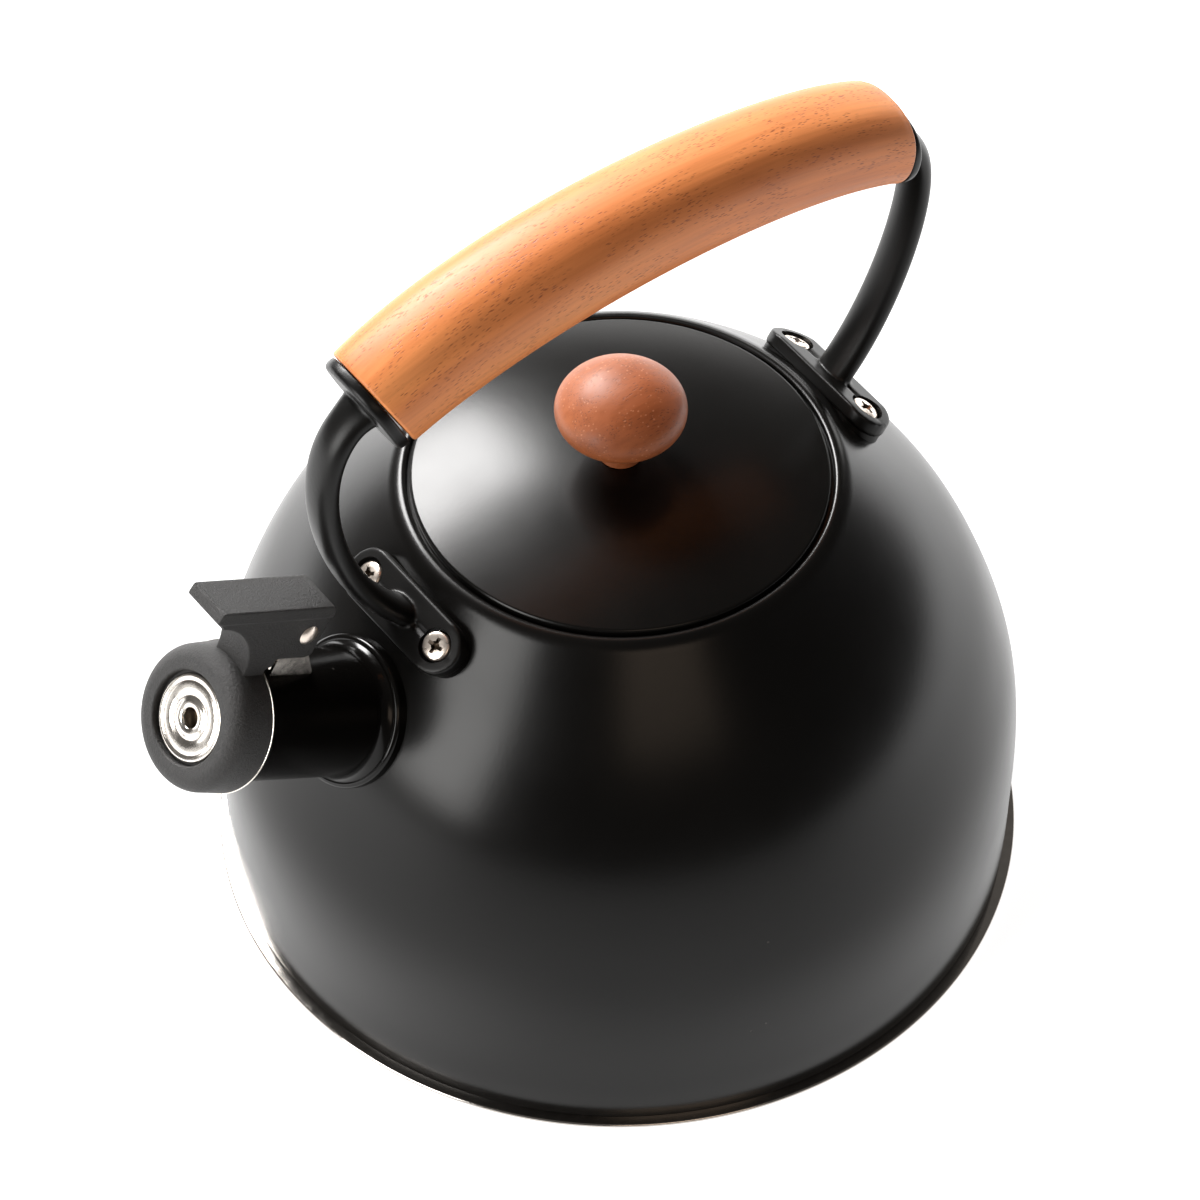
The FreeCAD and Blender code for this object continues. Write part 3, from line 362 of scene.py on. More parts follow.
def rounded(points, radii, count=5):
    """Closed outline with its corners cut by arcs. A radius of 0 keeps the corner."""
    out = []
    n = len(points)
    for i, (point, radius) in enumerate(zip(points, radii)):
        if radius <= 0:
            out.append(tuple(point))
            continue
        here = np.array(point, float)
        to_last = np.array(points[i - 1], float) - here
        to_next = np.array(points[(i + 1) % n], float) - here
        to_last /= np.linalg.norm(to_last)
        to_next /= np.linalg.norm(to_next)
        half = math.acos(max(-1.0, min(1.0, float(to_last @ to_next)))) / 2
        reach = radius / math.tan(half)
        bisector = (to_last + to_next) / np.linalg.norm(to_last + to_next)
        centre = here + bisector * radius / math.sin(half)
        a, b = here + to_last * reach, here + to_next * reach
        mid = centre - bisector * radius
        out += arc(tuple(a), tuple(mid), tuple(b), count)
    return out


def make_object(name, mesh, material, body, nodes, smooth_angle=40.0):
    """A piece that rides on a body and stands for the named CAD nodes."""
    piece = bpy.data.objects.new(name, mesh)
    bpy.context.scene.collection.objects.link(piece)
    if mesh.materials:                  # clear() would also reset the faces' material indices
        mesh.materials.clear()
    mesh.materials.append(material)
    mesh.shade_smooth()
    mesh.set_sharp_from_angle(angle=math.radians(smooth_angle))
    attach(piece, body)
    if nodes:
        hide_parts(*nodes)
    return piece


def lathe(outline, steps=192, closed=True, matrix=None):
    """Mesh turned about Z from (radius, height) points. Points on the axis become one vertex."""
    mesh = bpy.data.meshes.new("lathe")
    work = bmesh.new()
    columns = []
    for radius, height in outline:
        if radius < 1e-6:
            columns.append([work.verts.new((0, 0, height * MM))] * steps)
        else:
            columns.append([work.verts.new((radius * MM * math.cos(math.tau * i / steps),
                                            radius * MM * math.sin(math.tau * i / steps), height * MM))
                            for i in range(steps)])
    pairs = list(zip(columns, columns[1:]))
    if closed:
        pairs.append((columns[-1], columns[0]))
    for low, high in pairs:
        for i in range(steps):
            j = (i + 1) % steps
            corners = []
            for vertex in (low[i], low[j], high[j], high[i]):
                if vertex not in corners:
                    corners.append(vertex)
            if len(corners) > 2:
                work.faces.new(corners)
    bmesh.ops.recalc_face_normals(work, faces=work.faces)
    if matrix is not None:
        bmesh.ops.transform(work, matrix=matrix, verts=work.verts)
    work.to_mesh(mesh)
    work.free()
    return mesh


def spout_matrix():
    """From a lathe's frame, Z along the spout, to the spout's place. X there points up and back."""
    angle = math.radians(SPOUT_TILT)
    along = Vector((math.cos(angle), 0, math.sin(angle)))
    up = Vector((-math.sin(angle), 0, math.cos(angle)))
    across = along.cross(up)
    matrix = Matrix((up, across, along)).transposed().to_4x4()
    matrix.translation = Vector(SPOUT_ORIGIN) * MM
    return matrix


def spout_point(u, y, v):
    """A point at u along the spout, y across and v above its axis, in metres."""
    angle = math.radians(SPOUT_TILT)
    c, s = math.cos(angle), math.sin(angle)
    return Vector((SPOUT_ORIGIN[0] + c * u - s * v, y, SPOUT_ORIGIN[2] + s * u + c * v)) * MM


def foot_point(side, x, y, z):
    """A point of a foot's frame, z out of the dome, in metres. The front foot's side is 1, the rear's -1."""
    angle = math.radians(90 - FOOT_ANGLE)
    c, s = math.cos(angle), math.sin(angle)
    return Vector((side * (FOOT_BASE[0] + c * x + s * z), y, FOOT_BASE[1] - s * x + c * z)) * MM


def bezier(poles, count):
    """Bezier curve of any degree, sampled evenly in its parameter."""
    poles = np.array(poles, float)
    degree = len(poles) - 1
    t = np.linspace(0, 1, count)[:, None]
    return sum(math.comb(degree, i) * (1 - t) ** (degree - i) * t ** i * poles[i] for i in range(degree + 1))


def loft(rings):
    """Closed mesh through rings of equal length, with a flat cap at both ends."""
    mesh = bpy.data.meshes.new("loft")
    work = bmesh.new()
    made = [[work.verts.new(p) for p in ring] for ring in rings]
    for low, high in zip(made, made[1:]):
        for i in range(len(low)):
            j = (i + 1) % len(low)
            work.faces.new((low[i], low[j], high[j], high[i]))
    work.faces.new(made[0])
    work.faces.new(made[-1])
    bmesh.ops.recalc_face_normals(work, faces=work.faces)
    work.to_mesh(mesh)
    work.free()
    return mesh


def superellipse(width, height, squareness, count):
    """(across, up) points of a rounded section."""
    out = []
    for i in range(count):
        angle = math.tau * i / count
        c, s = math.cos(angle), math.sin(angle)
        out.append((math.copysign(abs(c) ** (2 / squareness), c) * width / 2,
                    math.copysign(abs(s) ** (2 / squareness), s) * height / 2))
    return out


def ring(centre, up, width, height, squareness, count):
    """Rounded section round a point of the XZ plane, in metres. Its height runs along up."""
    return [Vector((centre[0] + up[0] * h, w, centre[1] + up[1] * h)) * MM
            for w, h in superellipse(width, height, squareness, count)]


def section_ring(centre, tangent, width, height, squareness, count):
    """The ring square to a tangent, with its height running upwards."""
    tx, tz = tangent
    return ring(centre, (-tz, tx) if tx > 0 else (tz, -tx), width, height, squareness, count)


def curve_slopes(points):
    """Unit tangents of a sampled curve."""
    slopes = np.gradient(points, axis=0)
    return slopes / np.linalg.norm(slopes, axis=1)[:, None]


def scratch(mesh):
    """A short-lived object for a modifier to work on."""
    piece = bpy.data.objects.new("scratch", mesh)
    bpy.context.scene.collection.objects.link(piece)
    return piece


def apply_modifiers(piece):
    """The piece's evaluated mesh, with the piece itself removed."""
    depsgraph = bpy.context.evaluated_depsgraph_get()
    mesh = bpy.data.meshes.new_from_object(piece.evaluated_get(depsgraph))
    old = piece.data
    bpy.data.objects.remove(piece)
    if old.users == 0:
        bpy.data.meshes.remove(old)
    return mesh


def cut(mesh, other):
    """The mesh with the other closed mesh cut out of it."""
    target, tool = scratch(mesh), scratch(other)
    modifier = target.modifiers.new("cut", "BOOLEAN")
    modifier.operation = "DIFFERENCE"
    modifier.solver = "EXACT"
    modifier.object = tool
    bpy.context.view_layer.update()
    made = apply_modifiers(target)
    bpy.data.objects.remove(tool)
    return made


def cast(meshes, voxel, smooth):
    """Merges closed meshes into one skin and softens every edge and inner corner, like a casting."""
    work = bmesh.new()
    for mesh in meshes:
        work.from_mesh(mesh)
    joined = bpy.data.meshes.new("joined")
    work.to_mesh(joined)
    work.free()
    piece = scratch(joined)
    remesh = piece.modifiers.new("skin", "REMESH")
    remesh.mode = "VOXEL"
    remesh.voxel_size = voxel * MM
    remesh.use_smooth_shade = True
    soften = piece.modifiers.new("soften", "SMOOTH")
    soften.factor = 0.5
    soften.iterations = smooth
    bpy.context.view_layer.update()
    return apply_modifiers(piece)


def store_grain(mesh, bow=0.0):
    """Stores where each point lies in the board, as a vector with X along the fibres.

    The board bends downwards by bow times the distance from its middle squared.
    """
    places = np.zeros(len(mesh.vertices) * 3, np.float32)
    mesh.vertices.foreach_get("co", places)
    places = places.reshape(-1, 3)
    grain = places.copy()
    grain[:, 2] += bow * places[:, 0] ** 2
    attribute = mesh.attributes.new("grain", "FLOAT_VECTOR", "POINT")
    attribute.data.foreach_set("vector", grain.ravel())


# ---------------------------------------------------------------- body
def build_body():
    """Domed shell with its rolled mouth, a foot seamed to the rim and a bore for the spout."""
    outer = [p for p in spline(BODY_OUTLINE, 120) if p[0] > SHOULDER_RADIUS or p[1] < 100]
    crest = spline([outer[-1], (HEM_RADIUS, 137.9), (58.4, 138.9), (57.1, 139.25), (56.25, 138.95),
                    (MOUTH_RADIUS, 138.2)], 24)
    inner = []
    for (r0, z0), (r1, z1) in zip(outer[:-1], outer[1:]):
        length = math.hypot(r1 - r0, z1 - z0)
        inner.append((r0 - SHEET * (z1 - z0) / length, z0 + SHEET * (r1 - r0) / length))
    under_shelf = LEDGE_HEIGHT - SHEET
    inner = [p for p in inner if p[1] < under_shelf - 0.4]
    mouth = [(MOUTH_RADIUS, under_shelf + 0.02), (HEM_RADIUS, under_shelf)]
    foot_outside = [(107.35, RIM_TOP), (107.55, 2.12)]
    foot_inside = [(106.85, 2.05)]
    outline = foot_outside + outer[1:] + crest[1:] + mouth + inner[::-1] + foot_inside
    bore = lathe([(0, -85), (TUBE_BORE, -85), (TUBE_BORE, -45), (0, -45)], 64, False, spout_matrix())
    mesh = cut(lathe(outline, 320), bore)
    make_object("kettle_body", mesh, PAINT, "kettle", ["body_shell"], 50)


def build_neck():
    """Shelf under the lid's edge, and the filler neck."""
    outer, top = MOUTH_RADIUS - FIT, LEDGE_HEIGHT
    outline = rounded([(outer, top), (NECK_RADIUS, top), (NECK_RADIUS, NECK_BOTTOM),
                       (NECK_RADIUS + SHEET, NECK_BOTTOM), (NECK_RADIUS + SHEET, top - SHEET),
                       (outer, top - SHEET)], [0, 0.9, 0.2, 0.2, 0, 0])
    make_object("mouth_shelf", lathe(outline, 160), PAINT, "kettle", ["filler_neck"])


def build_rim():
    """Polished rim and the kettle's floor, in one pressing."""
    edge = RIM_RADIUS - RIM_ROUND
    outline = [(0, PAN_FLOOR), (PAN_RADIUS, PAN_FLOOR), (PAN_RADIUS, RIM_BOTTOM)]
    outline += arc((edge, RIM_BOTTOM), (RIM_RADIUS, (RIM_BOTTOM + RIM_TOP) / 2), (edge, RIM_TOP), 10)
    inside, floor_top = PAN_RADIUS + SHEET, PAN_FLOOR + SHEET
    outline += [(inside, RIM_TOP), (inside, floor_top), (0, floor_top)]
    make_object("base_rim", lathe(outline, 320, False), RIM_STEEL, "kettle", ["base_pan"])


# ---------------------------------------------------------------- lid
def build_lid():
    """Shallow dome with a short turned-down edge."""
    radius = (LID_RADIUS ** 2 + LID_RISE ** 2) / (2 * LID_RISE)
    centre = LID_EDGE_TOP + LID_RISE - radius

    def face(r, drop=0.0):
        return r, centre - drop + math.sqrt(radius ** 2 - r ** 2)

    top = [face(r) for r in np.linspace(0, LID_RADIUS - 0.9, 60)]
    under = [face(r, SHEET) for r in np.linspace(LID_RADIUS - 1.0, 0, 40)]
    edge = arc(top[-1], (LID_RADIUS - 0.17, LID_EDGE_TOP - 0.24), (LID_RADIUS, LID_EDGE_TOP - 0.8), 8)
    lip = [(LID_RADIUS, LID_EDGE_BOTTOM + 0.15), (LID_RADIUS - 0.15, LID_EDGE_BOTTOM),
           (LID_RADIUS - 0.7, LID_EDGE_BOTTOM), (LID_RADIUS - 0.85, LID_EDGE_BOTTOM + 0.2)]
    outline = top[:-1] + edge + lip + under
    make_object("lid_dome", lathe(outline, 256, False), PAINT, "lid", ["lid_shell"], 50)


def build_knob():
    crown = spline([(0, 175.0), (5.0, 174.5), (9.6, 172.9), (14.0, 169.9), (16.6, 166.9), (17.3, 164.2),
                    (16.9, 161.9), (14.6, 159.2), (10.4, 156.4), (6.9, 154.8), (5.5, 152.6), (5.4, 150.0),
                    (5.9, 147.45)], 90)
    foot = [(5.8, 147.37), (0, 147.37)]
    mesh = lathe(crown + foot, 160, False)
    store_grain(mesh)
    make_object("wooden_knob", mesh, KNOB_WOOD, "lid", ["lid_knob"], 60)


# ---------------------------------------------------------------- grip
def build_grip():
    """Bent wooden grip. Its end faces are tilted, so the sections turn towards them over its ends."""
    stations, around = 97, 96
    centres = bezier(GRIP_POLES, stations)
    slopes = curve_slopes(centres)
    share = np.linspace(0, 1, stations)
    marks = np.linspace(0, 100, len(GRIP_WIDTHS))
    widths = np.array(spline(list(zip(marks, GRIP_WIDTHS)), stations))[:, 1]
    heights = np.array(spline(list(zip(marks, GRIP_HEIGHTS)), stations))[:, 1]
    front, rear = (math.radians(tilt) for tilt in GRIP_TILTS)
    ends = (np.array((-math.cos(front), math.sin(front))), np.array((-math.cos(rear), -math.sin(rear))))
    rings = []
    for i in range(stations):
        first = max(0.0, 1 - share[i] * 6)
        last = max(0.0, 1 - (1 - share[i]) * 6)
        tangent = slopes[i] * (1 - first - last) + ends[0] * first + ends[1] * last
        tangent /= np.linalg.norm(tangent)
        rings.append(section_ring(centres[i], tangent, widths[i], heights[i], GRIP_SQUARENESS, around))

    def rounded_end(which):
        """Rings over an end's rounded edge, from its start to the end face."""
        place = -which                                      # the first station, or the last
        outward = ends[which] * (1 if which else -1)
        width, height = widths[place], heights[place]
        out = [section_ring(centres[place] - outward * GRIP_EDGE, ends[which], width, height,
                            GRIP_SQUARENESS, around)]
        for angle in (step / 6 * math.pi / 2 for step in range(1, 7)):
            inset = GRIP_EDGE * (1 - math.cos(angle))
            back = GRIP_EDGE * (1 - math.sin(angle))
            out.append(section_ring(centres[place] - outward * back, ends[which], width - 2 * inset,
                                    height - 2 * inset, GRIP_SQUARENESS, around))
        return out

    mesh = loft(rounded_end(0)[::-1] + rings[2:-2] + rounded_end(1))
    store_grain(mesh, 2.2)
    make_object("wooden_grip", mesh, GRIP_WOOD, "kettle", ["handle_grip"], 60)


# ---------------------------------------------------------------- handle castings
def foot_plate(side):
    """Obround plate curved round the dome. Each face is made of rings that narrow towards its long axis."""
    half = (FOOT_LENGTH - FOOT_WIDTH) / 2
    rim = []
    for end, start_angle in ((half, 0), (-half, math.pi)):
        for i in range(33):
            angle = start_angle + math.pi * i / 32
            rim.append((FOOT_WIDTH / 2 * math.cos(angle), end + FOOT_WIDTH / 2 * math.sin(angle)))
    count = len(rim)
    work = bmesh.new()
    faces = []
    for height in (FOOT_LOW, FOOT_HIGH):
        drum = DOME_RADIUS + height
        rings = []
        for narrowing in np.linspace(1, 0, 9)[:-1]:
            points = [foot_point(side, x * narrowing, y, math.sqrt(drum ** 2 - y * y) - DOME_RADIUS)
                      for x, y in rim]
            rings.append([work.verts.new(point) for point in points])
        faces.append(rings)
    low_rim, high_rim = faces[0][0], faces[1][0]
    for i in range(count):
        j = (i + 1) % count
        for rings in faces:
            for outer, inner in zip(rings, rings[1:]):
                work.faces.new((outer[i], outer[j], inner[j], inner[i]))
        work.faces.new((low_rim[i], low_rim[j], high_rim[j], high_rim[i]))
    for rings in faces:
        work.faces.new(rings[-1])
    bmesh.ops.recalc_face_normals(work, faces=work.faces)
    mesh = bpy.data.meshes.new("plate")
    work.to_mesh(mesh)
    work.free()
    return mesh


def screw_point(side, turn, x, y, height):
    """A point of a foot screw's frame: turn degrees round the dome, and height above it."""
    c, s = math.cos(math.radians(turn)), math.sin(math.radians(turn))
    drum = DOME_RADIUS + height
    return foot_point(side, x, y * c + drum * s, -y * s + drum * c - DOME_RADIUS)


def foot_cylinder(side, turn, radius, low, high, steps=48):
    """Closed cylinder square to the dome at a foot screw."""
    angles = [math.tau * i / steps for i in range(steps)]
    return loft([[screw_point(side, turn, radius * math.cos(angle), radius * math.sin(angle), height)
                  for angle in angles] for height in (low, high)])


def grip_flange(side, centre, tilt, width, height):
    """Rounded plate that the grip's end is bolted to. It faces tilt degrees below the horizontal."""
    angle = math.radians(tilt)
    outward = np.array((side * math.cos(angle), -math.sin(angle)))
    steps = [(0, 0.15), (0.15, 0)]
    for a in np.linspace(0, math.pi / 2, 7):
        depth = FLANGE_THICKNESS - FLANGE_EDGE + FLANGE_EDGE * math.sin(a)
        steps.append((depth, FLANGE_EDGE * (1 - math.cos(a))))
    return loft([section_ring(np.array(centre) + outward * depth, outward, width - 2 * inset,
                              height - 2 * inset, GRIP_SQUARENESS, 72) for depth, inset in steps])


def build_arm(name, side, poles, flange, node):
    """One casting: foot plate, arm and the flange for the grip, with the screws' counterbores."""
    count = 60
    centres = bezier(poles, count)
    slopes = curve_slopes(centres)
    swell = 1 + 0.16 * np.exp(-(np.linspace(0, 1, count) / 0.07) ** 2)
    rings = [ring(centre, (-slope[1], slope[0]), ARM_WIDTH * s, ARM_DEPTH * s, ARM_SQUARENESS, 40)
             for centre, slope, s in zip(centres, slopes, swell)]
    mesh = cast([loft(rings), foot_plate(side), flange], voxel=0.34, smooth=22)
    for turn in (SCREW_ANGLE, -SCREW_ANGLE):
        mesh = cut(mesh, foot_cylinder(side, turn, COUNTERBORE_RADIUS, COUNTERBORE_FLOOR, COUNTERBORE_TOP))
    make_object(name, mesh, CAST_PAINT, "kettle", [node], 45)


def build_arms():
    build_arm("front_casting", 1, FRONT_ARM, grip_flange(1, *FRONT_FLANGE), "front_arm")
    build_arm("rear_casting", -1, REAR_ARM, grip_flange(-1, *REAR_FLANGE), "rear_arm")


# ---------------------------------------------------------------- spout
def build_spout():
    """The tube with its rolled lip, and the ring over its seam. Both are cut to the dome's outer face."""
    lip_start = TUBE_END - LIP_LENGTH
    tube = [(TUBE_RADIUS, TUBE_ROOT)]
    tube += arc((TUBE_RADIUS, lip_start), (LIP_RADIUS, TUBE_END - LIP_LENGTH / 2), (TUBE_RADIUS, TUBE_END), 8)
    tube += [(TUBE_BORE + 0.3, TUBE_END + 0.05), (TUBE_BORE, TUBE_END - 0.2), (TUBE_BORE, TUBE_ROOT)]
    bore = TUBE_RADIUS + FIT
    collar = [(bore, TUBE_ROOT), (COLLAR_RADIUS, TUBE_ROOT), (COLLAR_RADIUS, -56.6)]
    collar += arc((COLLAR_RADIUS, -56.4), (19.85, -55.2), (18.85, -54.9), 8) + [(18.6, -54.95)]
    collar += arc((18.3, -54.7), (17.55, -53.6), (bore + 0.1, COLLAR_TOP), 8) + [(bore, COLLAR_TOP)]
    dome = lathe(spline(BODY_OUTLINE, 90) + [(0, 138.3), (0, 2.0)], 256, False)
    for name, outline, node in (("spout_pipe", tube, "spout_tube"), ("spout_ring", collar, "spout_collar")):
        mesh = cut(lathe(outline, 160, True, spout_matrix()), dome.copy())
        make_object(name, mesh, TUBE_PAINT, "kettle", [node], 50)


# ---------------------------------------------------------------- whistle cap
def build_whistle():
    """Front plate with its pressed rings and centre hole, and the barrel behind it."""
    front = spline([(11.5, -0.5), (11.25, -0.1), (10.9, 0.02), (10.35, 0.0)], 10)
    front += spline([(10.1, -0.06), (9.85, -0.2), (9.5, -0.22), (9.2, -0.1), (8.8, -0.04), (8.0, -0.03),
                     (7.1, -0.12), (6.3, -0.42), (5.7, -0.5), (5.1, -0.3), (4.5, -0.02), (3.9, 0.04),
                     (3.2, -0.04), (2.75, -0.3), (2.6, -0.7)], 80)
    back = [(2.6, -1.0), (4.6, -0.75), (6.3, -1.5), (8.0, -0.85), (8.9, -1.2), (8.9, -6.4), (9.4, -6.4),
            (9.4, -0.95), (11.4, -0.95)]
    mesh = lathe(front + back, 192, True, spout_matrix())
    make_object("whistle_plate", mesh, STEEL, "spout_cap", ["whistle_face"], 50)


def prism(points, half_width):
    """Closed prism across the spout from (u, v) points."""
    return loft([[spout_point(u, y, v) for u, v in points] for y in (-half_width, half_width)])


def cap_shell_mesh():
    """Moulded cap: outer wall with a rounded front edge, the whistle's recess and the wall behind it."""
    diagonal = CAP_EDGE * math.sqrt(0.5)
    edge_radius = CAP_FRONT_RADIUS - CAP_EDGE
    edge_place = CAP_FRONT - CAP_EDGE
    outline = [(CAP_BORE, CAP_REAR + 0.05), (CAP_BORE + 0.15, CAP_REAR), (CAP_REAR_RADIUS - 0.15, CAP_REAR),
               (CAP_REAR_RADIUS, CAP_REAR + 0.2)]
    outline += arc((CAP_FRONT_RADIUS, edge_place), (edge_radius + diagonal, edge_place + diagonal),
                   (edge_radius, CAP_FRONT), 16)
    outline += arc((WHISTLE_RECESS + 0.6, CAP_FRONT), (WHISTLE_RECESS + 0.15, CAP_FRONT - 0.18),
                   (WHISTLE_RECESS, CAP_FRONT - 0.6), 5)
    outline += [(WHISTLE_RECESS, WHISTLE_SEAT), (CAP_OPENING, WHISTLE_SEAT), (CAP_OPENING, CAP_WALL_BACK),
                (CAP_BORE, CAP_WALL_BACK)]
    return lathe(outline, 192, True, spout_matrix())


def cap_lever_mesh():
    """Thumb lever: a scooped web with a slot for the hinge's ears, and a wider pad on top."""
    scoop_u, scoop_v = SCOOP_CENTRE
    diagonal = SCOOP_RADIUS * math.sqrt(0.5)
    scoop = arc((scoop_u - SCOOP_RADIUS, scoop_v), (scoop_u - diagonal, scoop_v + diagonal),
                (scoop_u, scoop_v + SCOOP_RADIUS), 20)
    web = [(-3.8, 17.0)] + scoop + [(14.6, PAD_UNDERSIDE), (-24.3, PAD_UNDERSIDE)]
    web += [(-24.4, 24.3), (-22.2, 23.4), (-12.8, 23.1), (-12.2, 20.6), (-10.5, 20.0), (-10.5, 17.0)]
    pad = rounded([(14.9, 38.6), (-23.2, 40.2), (-24.45, 38.6), (-24.4, 36.6), (15.4, 34.9)],
                  [0.7, 0.8, 0.3, 0.0, 0.6])
    lever = cast([prism(web, LEVER_HALF_WIDTH), prism(pad, PAD_HALF_WIDTH)], voxel=0.2, smooth=26)
    reach = CAP_BORE + 0.1
    cap_space = lathe([(0, -40), (reach, -40), (reach, 5), (0, 5)], 160, False, spout_matrix())
    slot = [(-26.4, 15), (-13.4, 15), (-13.4, 35.2), (-26.4, 35.2)]
    return cut(cut(lever, cap_space), prism(slot, SLOT_HALF_WIDTH))


def build_cap():
    shell, lever = cap_shell_mesh(), cap_lever_mesh()
    make_object("cap_shell", shell, PLASTIC, "spout_cap", ["cap_body"], 45)
    make_object("cap_lever", lever, PLASTIC, "spout_cap", [], 45)


def build_liner():
    """Thin steel cup inside the cap, with a flange that shows behind it."""
    outer = CAP_BORE - FIT
    inner, front_inside = outer - LINER_SHEET, CAP_WALL_BACK - LINER_SHEET
    flange = [(outer, -10.62), (19.62, -10.62), (19.75, -10.75), (19.72, -10.95), (19.6, -11.0),
              (inner, -11.0)]
    outline = [(CAP_OPENING, CAP_WALL_BACK), (outer, CAP_WALL_BACK)] + flange
    outline += [(inner, front_inside), (CAP_OPENING, front_inside)]
    mesh = lathe(outline, 192, True, spout_matrix())
    make_object("cap_cup", mesh, STEEL, "spout_cap", ["cap_liner"], 50)


# ---------------------------------------------------------------- small hardware
def driver_recess(top, depth=1.2):
    """Closed meshes of a cross-point recess, two tapered slots and a cone, with its mouth at top."""
    parts = []
    for turn in (0, math.pi / 2):
        c, s = math.cos(turn), math.sin(turn)
        rings = []
        for z, half_length, half_width in ((top + 0.2, 2.5, 0.55), (top - depth, 1.2, 0.32)):
            corners = [(half_length, half_width), (-half_length, half_width), (-half_length, -half_width),
                       (half_length, -half_width)]
            rings.append([Vector((x * c - y * s, x * s + y * c, z)) * MM for x, y in corners])
        parts.append(loft(rings))
    cone = [(0, top + 0.2), (1.3, top + 0.2), (0.7, top - depth), (0, top - depth - 0.2)]
    parts.append(lathe(cone, 24, False))
    return parts


def screw_head():
    """Pan-head screw on the Z axis, with its recess as the second material, a dark steel that paints the
    shade in the recess.
    """
    radius, height = SCREW_HEAD_RADIUS, SCREW_HEAD_HEIGHT
    crown = spline([(0, height), (1.9, 1.66), (3.0, 1.52), (3.65, 1.28), (4.0, 0.85), (radius, 0.3)], 30)
    shank = [(radius, 0.0), (SHANK_RADIUS, 0.0), (SHANK_RADIUS, -2.5), (1.6, -2.8), (0, -2.8)]
    head = lathe(crown + shank, 96, False)
    for tool in driver_recess(height):
        head = cut(head, tool)
    for face in head.polygons:
        middle = face.center / MM
        inside = max(abs(middle.x), abs(middle.y)) < 2.7 and 0.2 < middle.z
        face.material_index = int(inside and (face.normal.z < 0.5 or middle.z < 1.3))
    return head


def build_screws():
    """The four foot screws, each in its counterbore and turned as it happened to be tightened."""
    for name, side, node in (("front_screws", 1, "front_foot_screws"),
                             ("rear_screws", -1, "rear_foot_screws")):
        work = bmesh.new()
        for turn, twist in ((SCREW_ANGLE, 0.15), (-SCREW_ANGLE, 0.7)):
            head = screw_head()
            origin = screw_point(side, turn, 0, 0, SCREW_SEAT)
            outward = (screw_point(side, turn, 0, 0, SCREW_SEAT + 1) - origin).normalized()
            across = (screw_point(side, turn, 1, 0, SCREW_SEAT) - origin).normalized()
            place = Matrix((across, outward.cross(across), outward)).transposed().to_4x4()
            place.translation = origin
            head.transform(place @ Matrix.Rotation(twist, 4, "Z"))
            work.from_mesh(head)
        mesh = bpy.data.meshes.new(name)
        work.to_mesh(mesh)
        work.free()
        make_object(name, mesh, SCREW_STEEL, "kettle", [node], 35)
        # second material: dark steel that paints the shade in the recesses
        mesh.materials.append(PAINTED_SHADE_RECESS_STEEL)


# ---------------------------------------------------------------- stage
def build_stage():
    """White table whose emission is a painted glow: brighter behind the kettle, and dim past its near side.
    """
    floor_mesh = lathe([(radius, 0) for radius in (0, 150, 300, 600, 2600)], 64, False)
    floor = bpy.data.objects.new("floor", floor_mesh)
    bpy.context.scene.collection.objects.link(floor)
    material, tree, shader = new_material("white_table")
    place = coordinates(tree)
    tone = grey_ramp(tree, noise(tree, place, 3.0, 2.0), [(0.3, 0.3), (0.7, 0.31)])
    tree.links.new(tone, shader.inputs["Base Color"])
    shader.inputs["Roughness"].default_value = 0.7
    length = add(tree, "ShaderNodeVectorMath", operation="LENGTH")
    tree.links.new(place, length.inputs[0])
    way = add(tree, "ShaderNodeVectorMath", operation="NORMALIZE")
    tree.links.new(place, way.inputs[0])
    towards = add(tree, "ShaderNodeVectorMath", operation="DOT_PRODUCT")
    towards.inputs[1].default_value = (0.55, 0.835, 0)
    tree.links.new(way.outputs[0], towards.inputs[0])
    # painted light: the floor's glow dims past the near side and brightens behind the kettle
    near = grey_ramp(tree, length.outputs["Value"], [(0.0, 0.375), (0.25, 0.375), (0.6, 0.26)])
    far = grey_ramp(tree, length.outputs["Value"], [(0.0, 0.375), (0.24, 0.38), (0.55, 1.0)])
    side = grey_ramp(tree, towards.outputs["Value"], [(0.1, 0.0), (0.75, 1.0)])
    tree.links.new(mix(tree, side, far, near), shader.inputs["Emission Color"])
    shader.inputs["Emission Strength"].default_value = 2.5
    floor_mesh.materials.append(material)


def softbox(name, azimuth, elevation, distance, width, height, power, colour=(1, 1, 1)):
    """Rectangular light aimed at the kettle's middle. Azimuth is from the spout, towards +Y."""
    a, e = math.radians(azimuth), math.radians(elevation)
    target = Vector((0, 0, 0.11))
    away = Vector((math.cos(a) * math.cos(e), math.sin(a) * math.cos(e), math.sin(e)))
    data = bpy.data.lights.new(name, "AREA")
    data.shape = "RECTANGLE"
    data.size, data.size_y = width, height
    data.energy = power
    data.color = colour
    lamp = bpy.data.objects.new(name, data)
    bpy.context.scene.collection.objects.link(lamp)
    lamp.location = target + away * distance
    lamp.rotation_mode = "QUATERNION"
    lamp.rotation_quaternion = away.to_track_quat("Z", "Y")


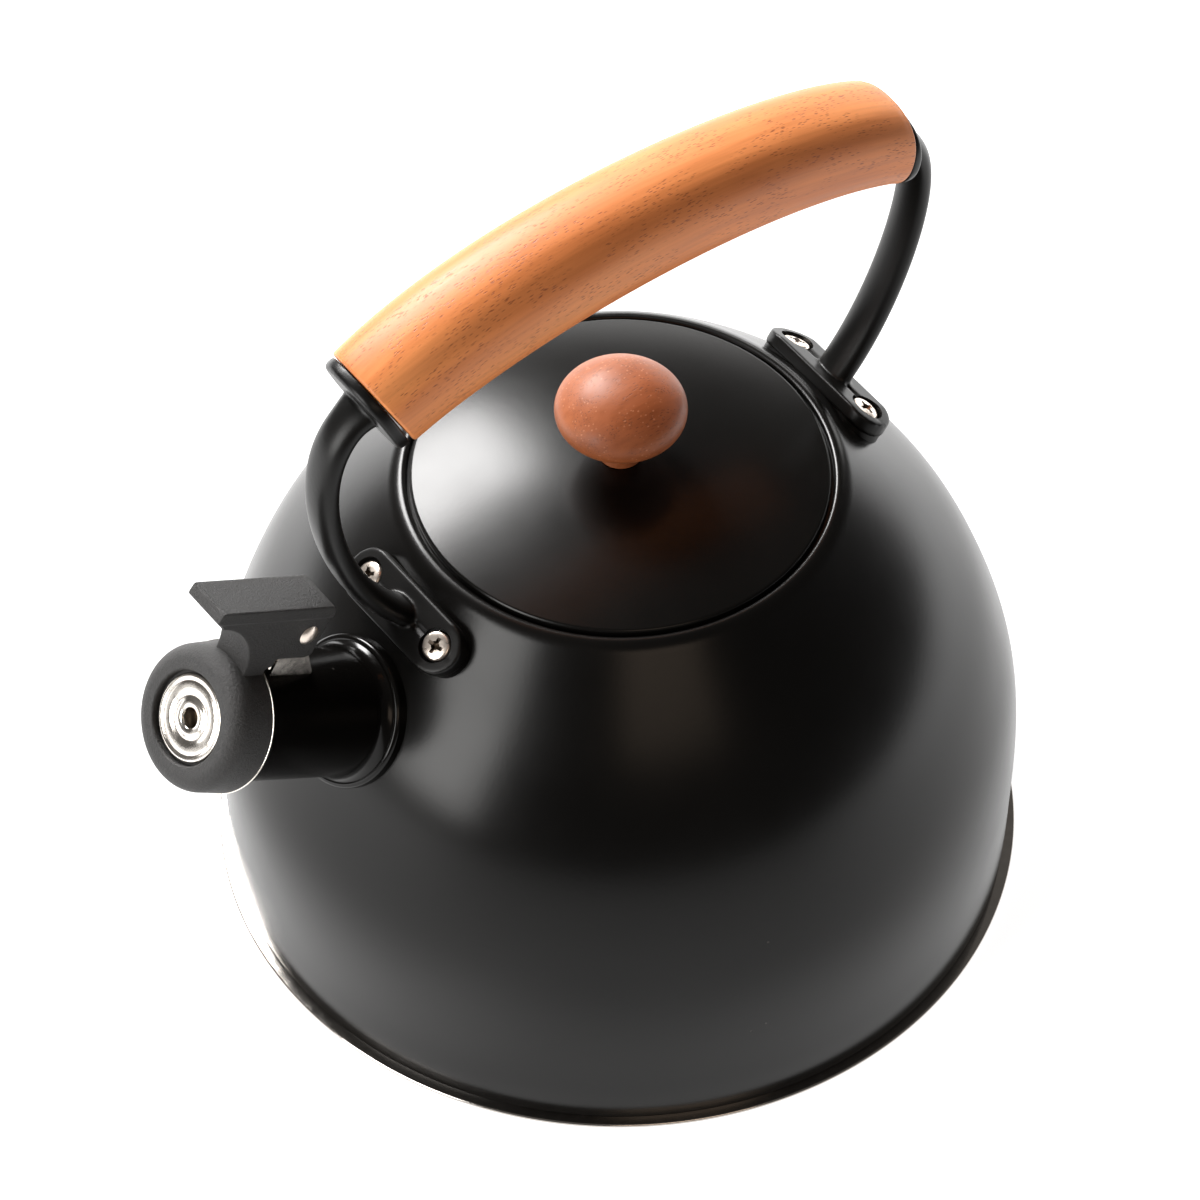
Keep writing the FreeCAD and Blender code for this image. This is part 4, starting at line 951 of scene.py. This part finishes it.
def build_lights():
    world = bpy.data.worlds.new("studio")
    bpy.context.scene.world = world
    world.use_nodes = True
    background = world.node_tree.nodes["Background"]
    background.inputs["Color"].default_value = (1.0, 0.95, 0.9, 1)
    background.inputs["Strength"].default_value = 0.1
    softbox("key_behind_left", -92, 42, 1.6, 0.74, 0.55, 60, (1.0, 0.99, 0.98))
    softbox("far_wall", -142, 14, 1.8, 1.6, 0.4, 8, (1.0, 0.99, 0.97))
    softbox("spout_side", 0, 22, 1.7, 0.8, 1.0, 25, (1.0, 0.99, 0.97))
    softbox("front_patch", 72, 40, 1.8, 0.9, 0.5, 2.4, (1.0, 0.78, 0.6))


def build_camera():
    """Long lens, from the spout's left and well above it."""
    data = bpy.data.cameras.new("camera")
    data.lens = 180.774
    data.sensor_width = 36.0
    data.clip_start, data.clip_end = 0.05, 50.0
    camera = bpy.data.objects.new("camera", data)
    bpy.context.scene.collection.objects.link(camera)
    camera.location = (0.63641, 0.84455, 1.30861)
    camera.rotation_mode = "XYZ"
    camera.rotation_euler = [math.radians(a) for a in (40.91603, -0.20297, 143.51287)]
    bpy.context.scene.camera = camera


CARRIED = {
    "heat_spreader": ALUMINIUM, "base_cover": BRUSHED, "hinge_bracket": STEEL, "hinge_pin": SCREW_STEEL,
    "hinge_spring": STEEL, "front_bracket": CAST_PAINT, "rear_bracket": CAST_PAINT, "front_grip_stud": STEEL,
    "rear_grip_stud": STEEL, "whistle_back": STEEL, "cap_seal": SILICONE, "lid_skirt": BRUSHED,
    "knob_washer": STEEL, "knob_screw": SCREW_STEEL,
}


def dress_carried():
    """Gives the CAD pieces that are shown as they are their materials."""
    for node, material in CARRIED.items():
        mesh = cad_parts[node].data
        mesh.materials.clear()
        mesh.materials.append(material)


build_body()
build_neck()
build_rim()
build_lid()
build_knob()
build_grip()
build_arms()
build_spout()
build_whistle()
build_cap()
build_liner()
build_screws()
dress_carried()
build_stage()
build_lights()
build_camera()
bpy.context.scene.view_settings.view_transform = "Standard"
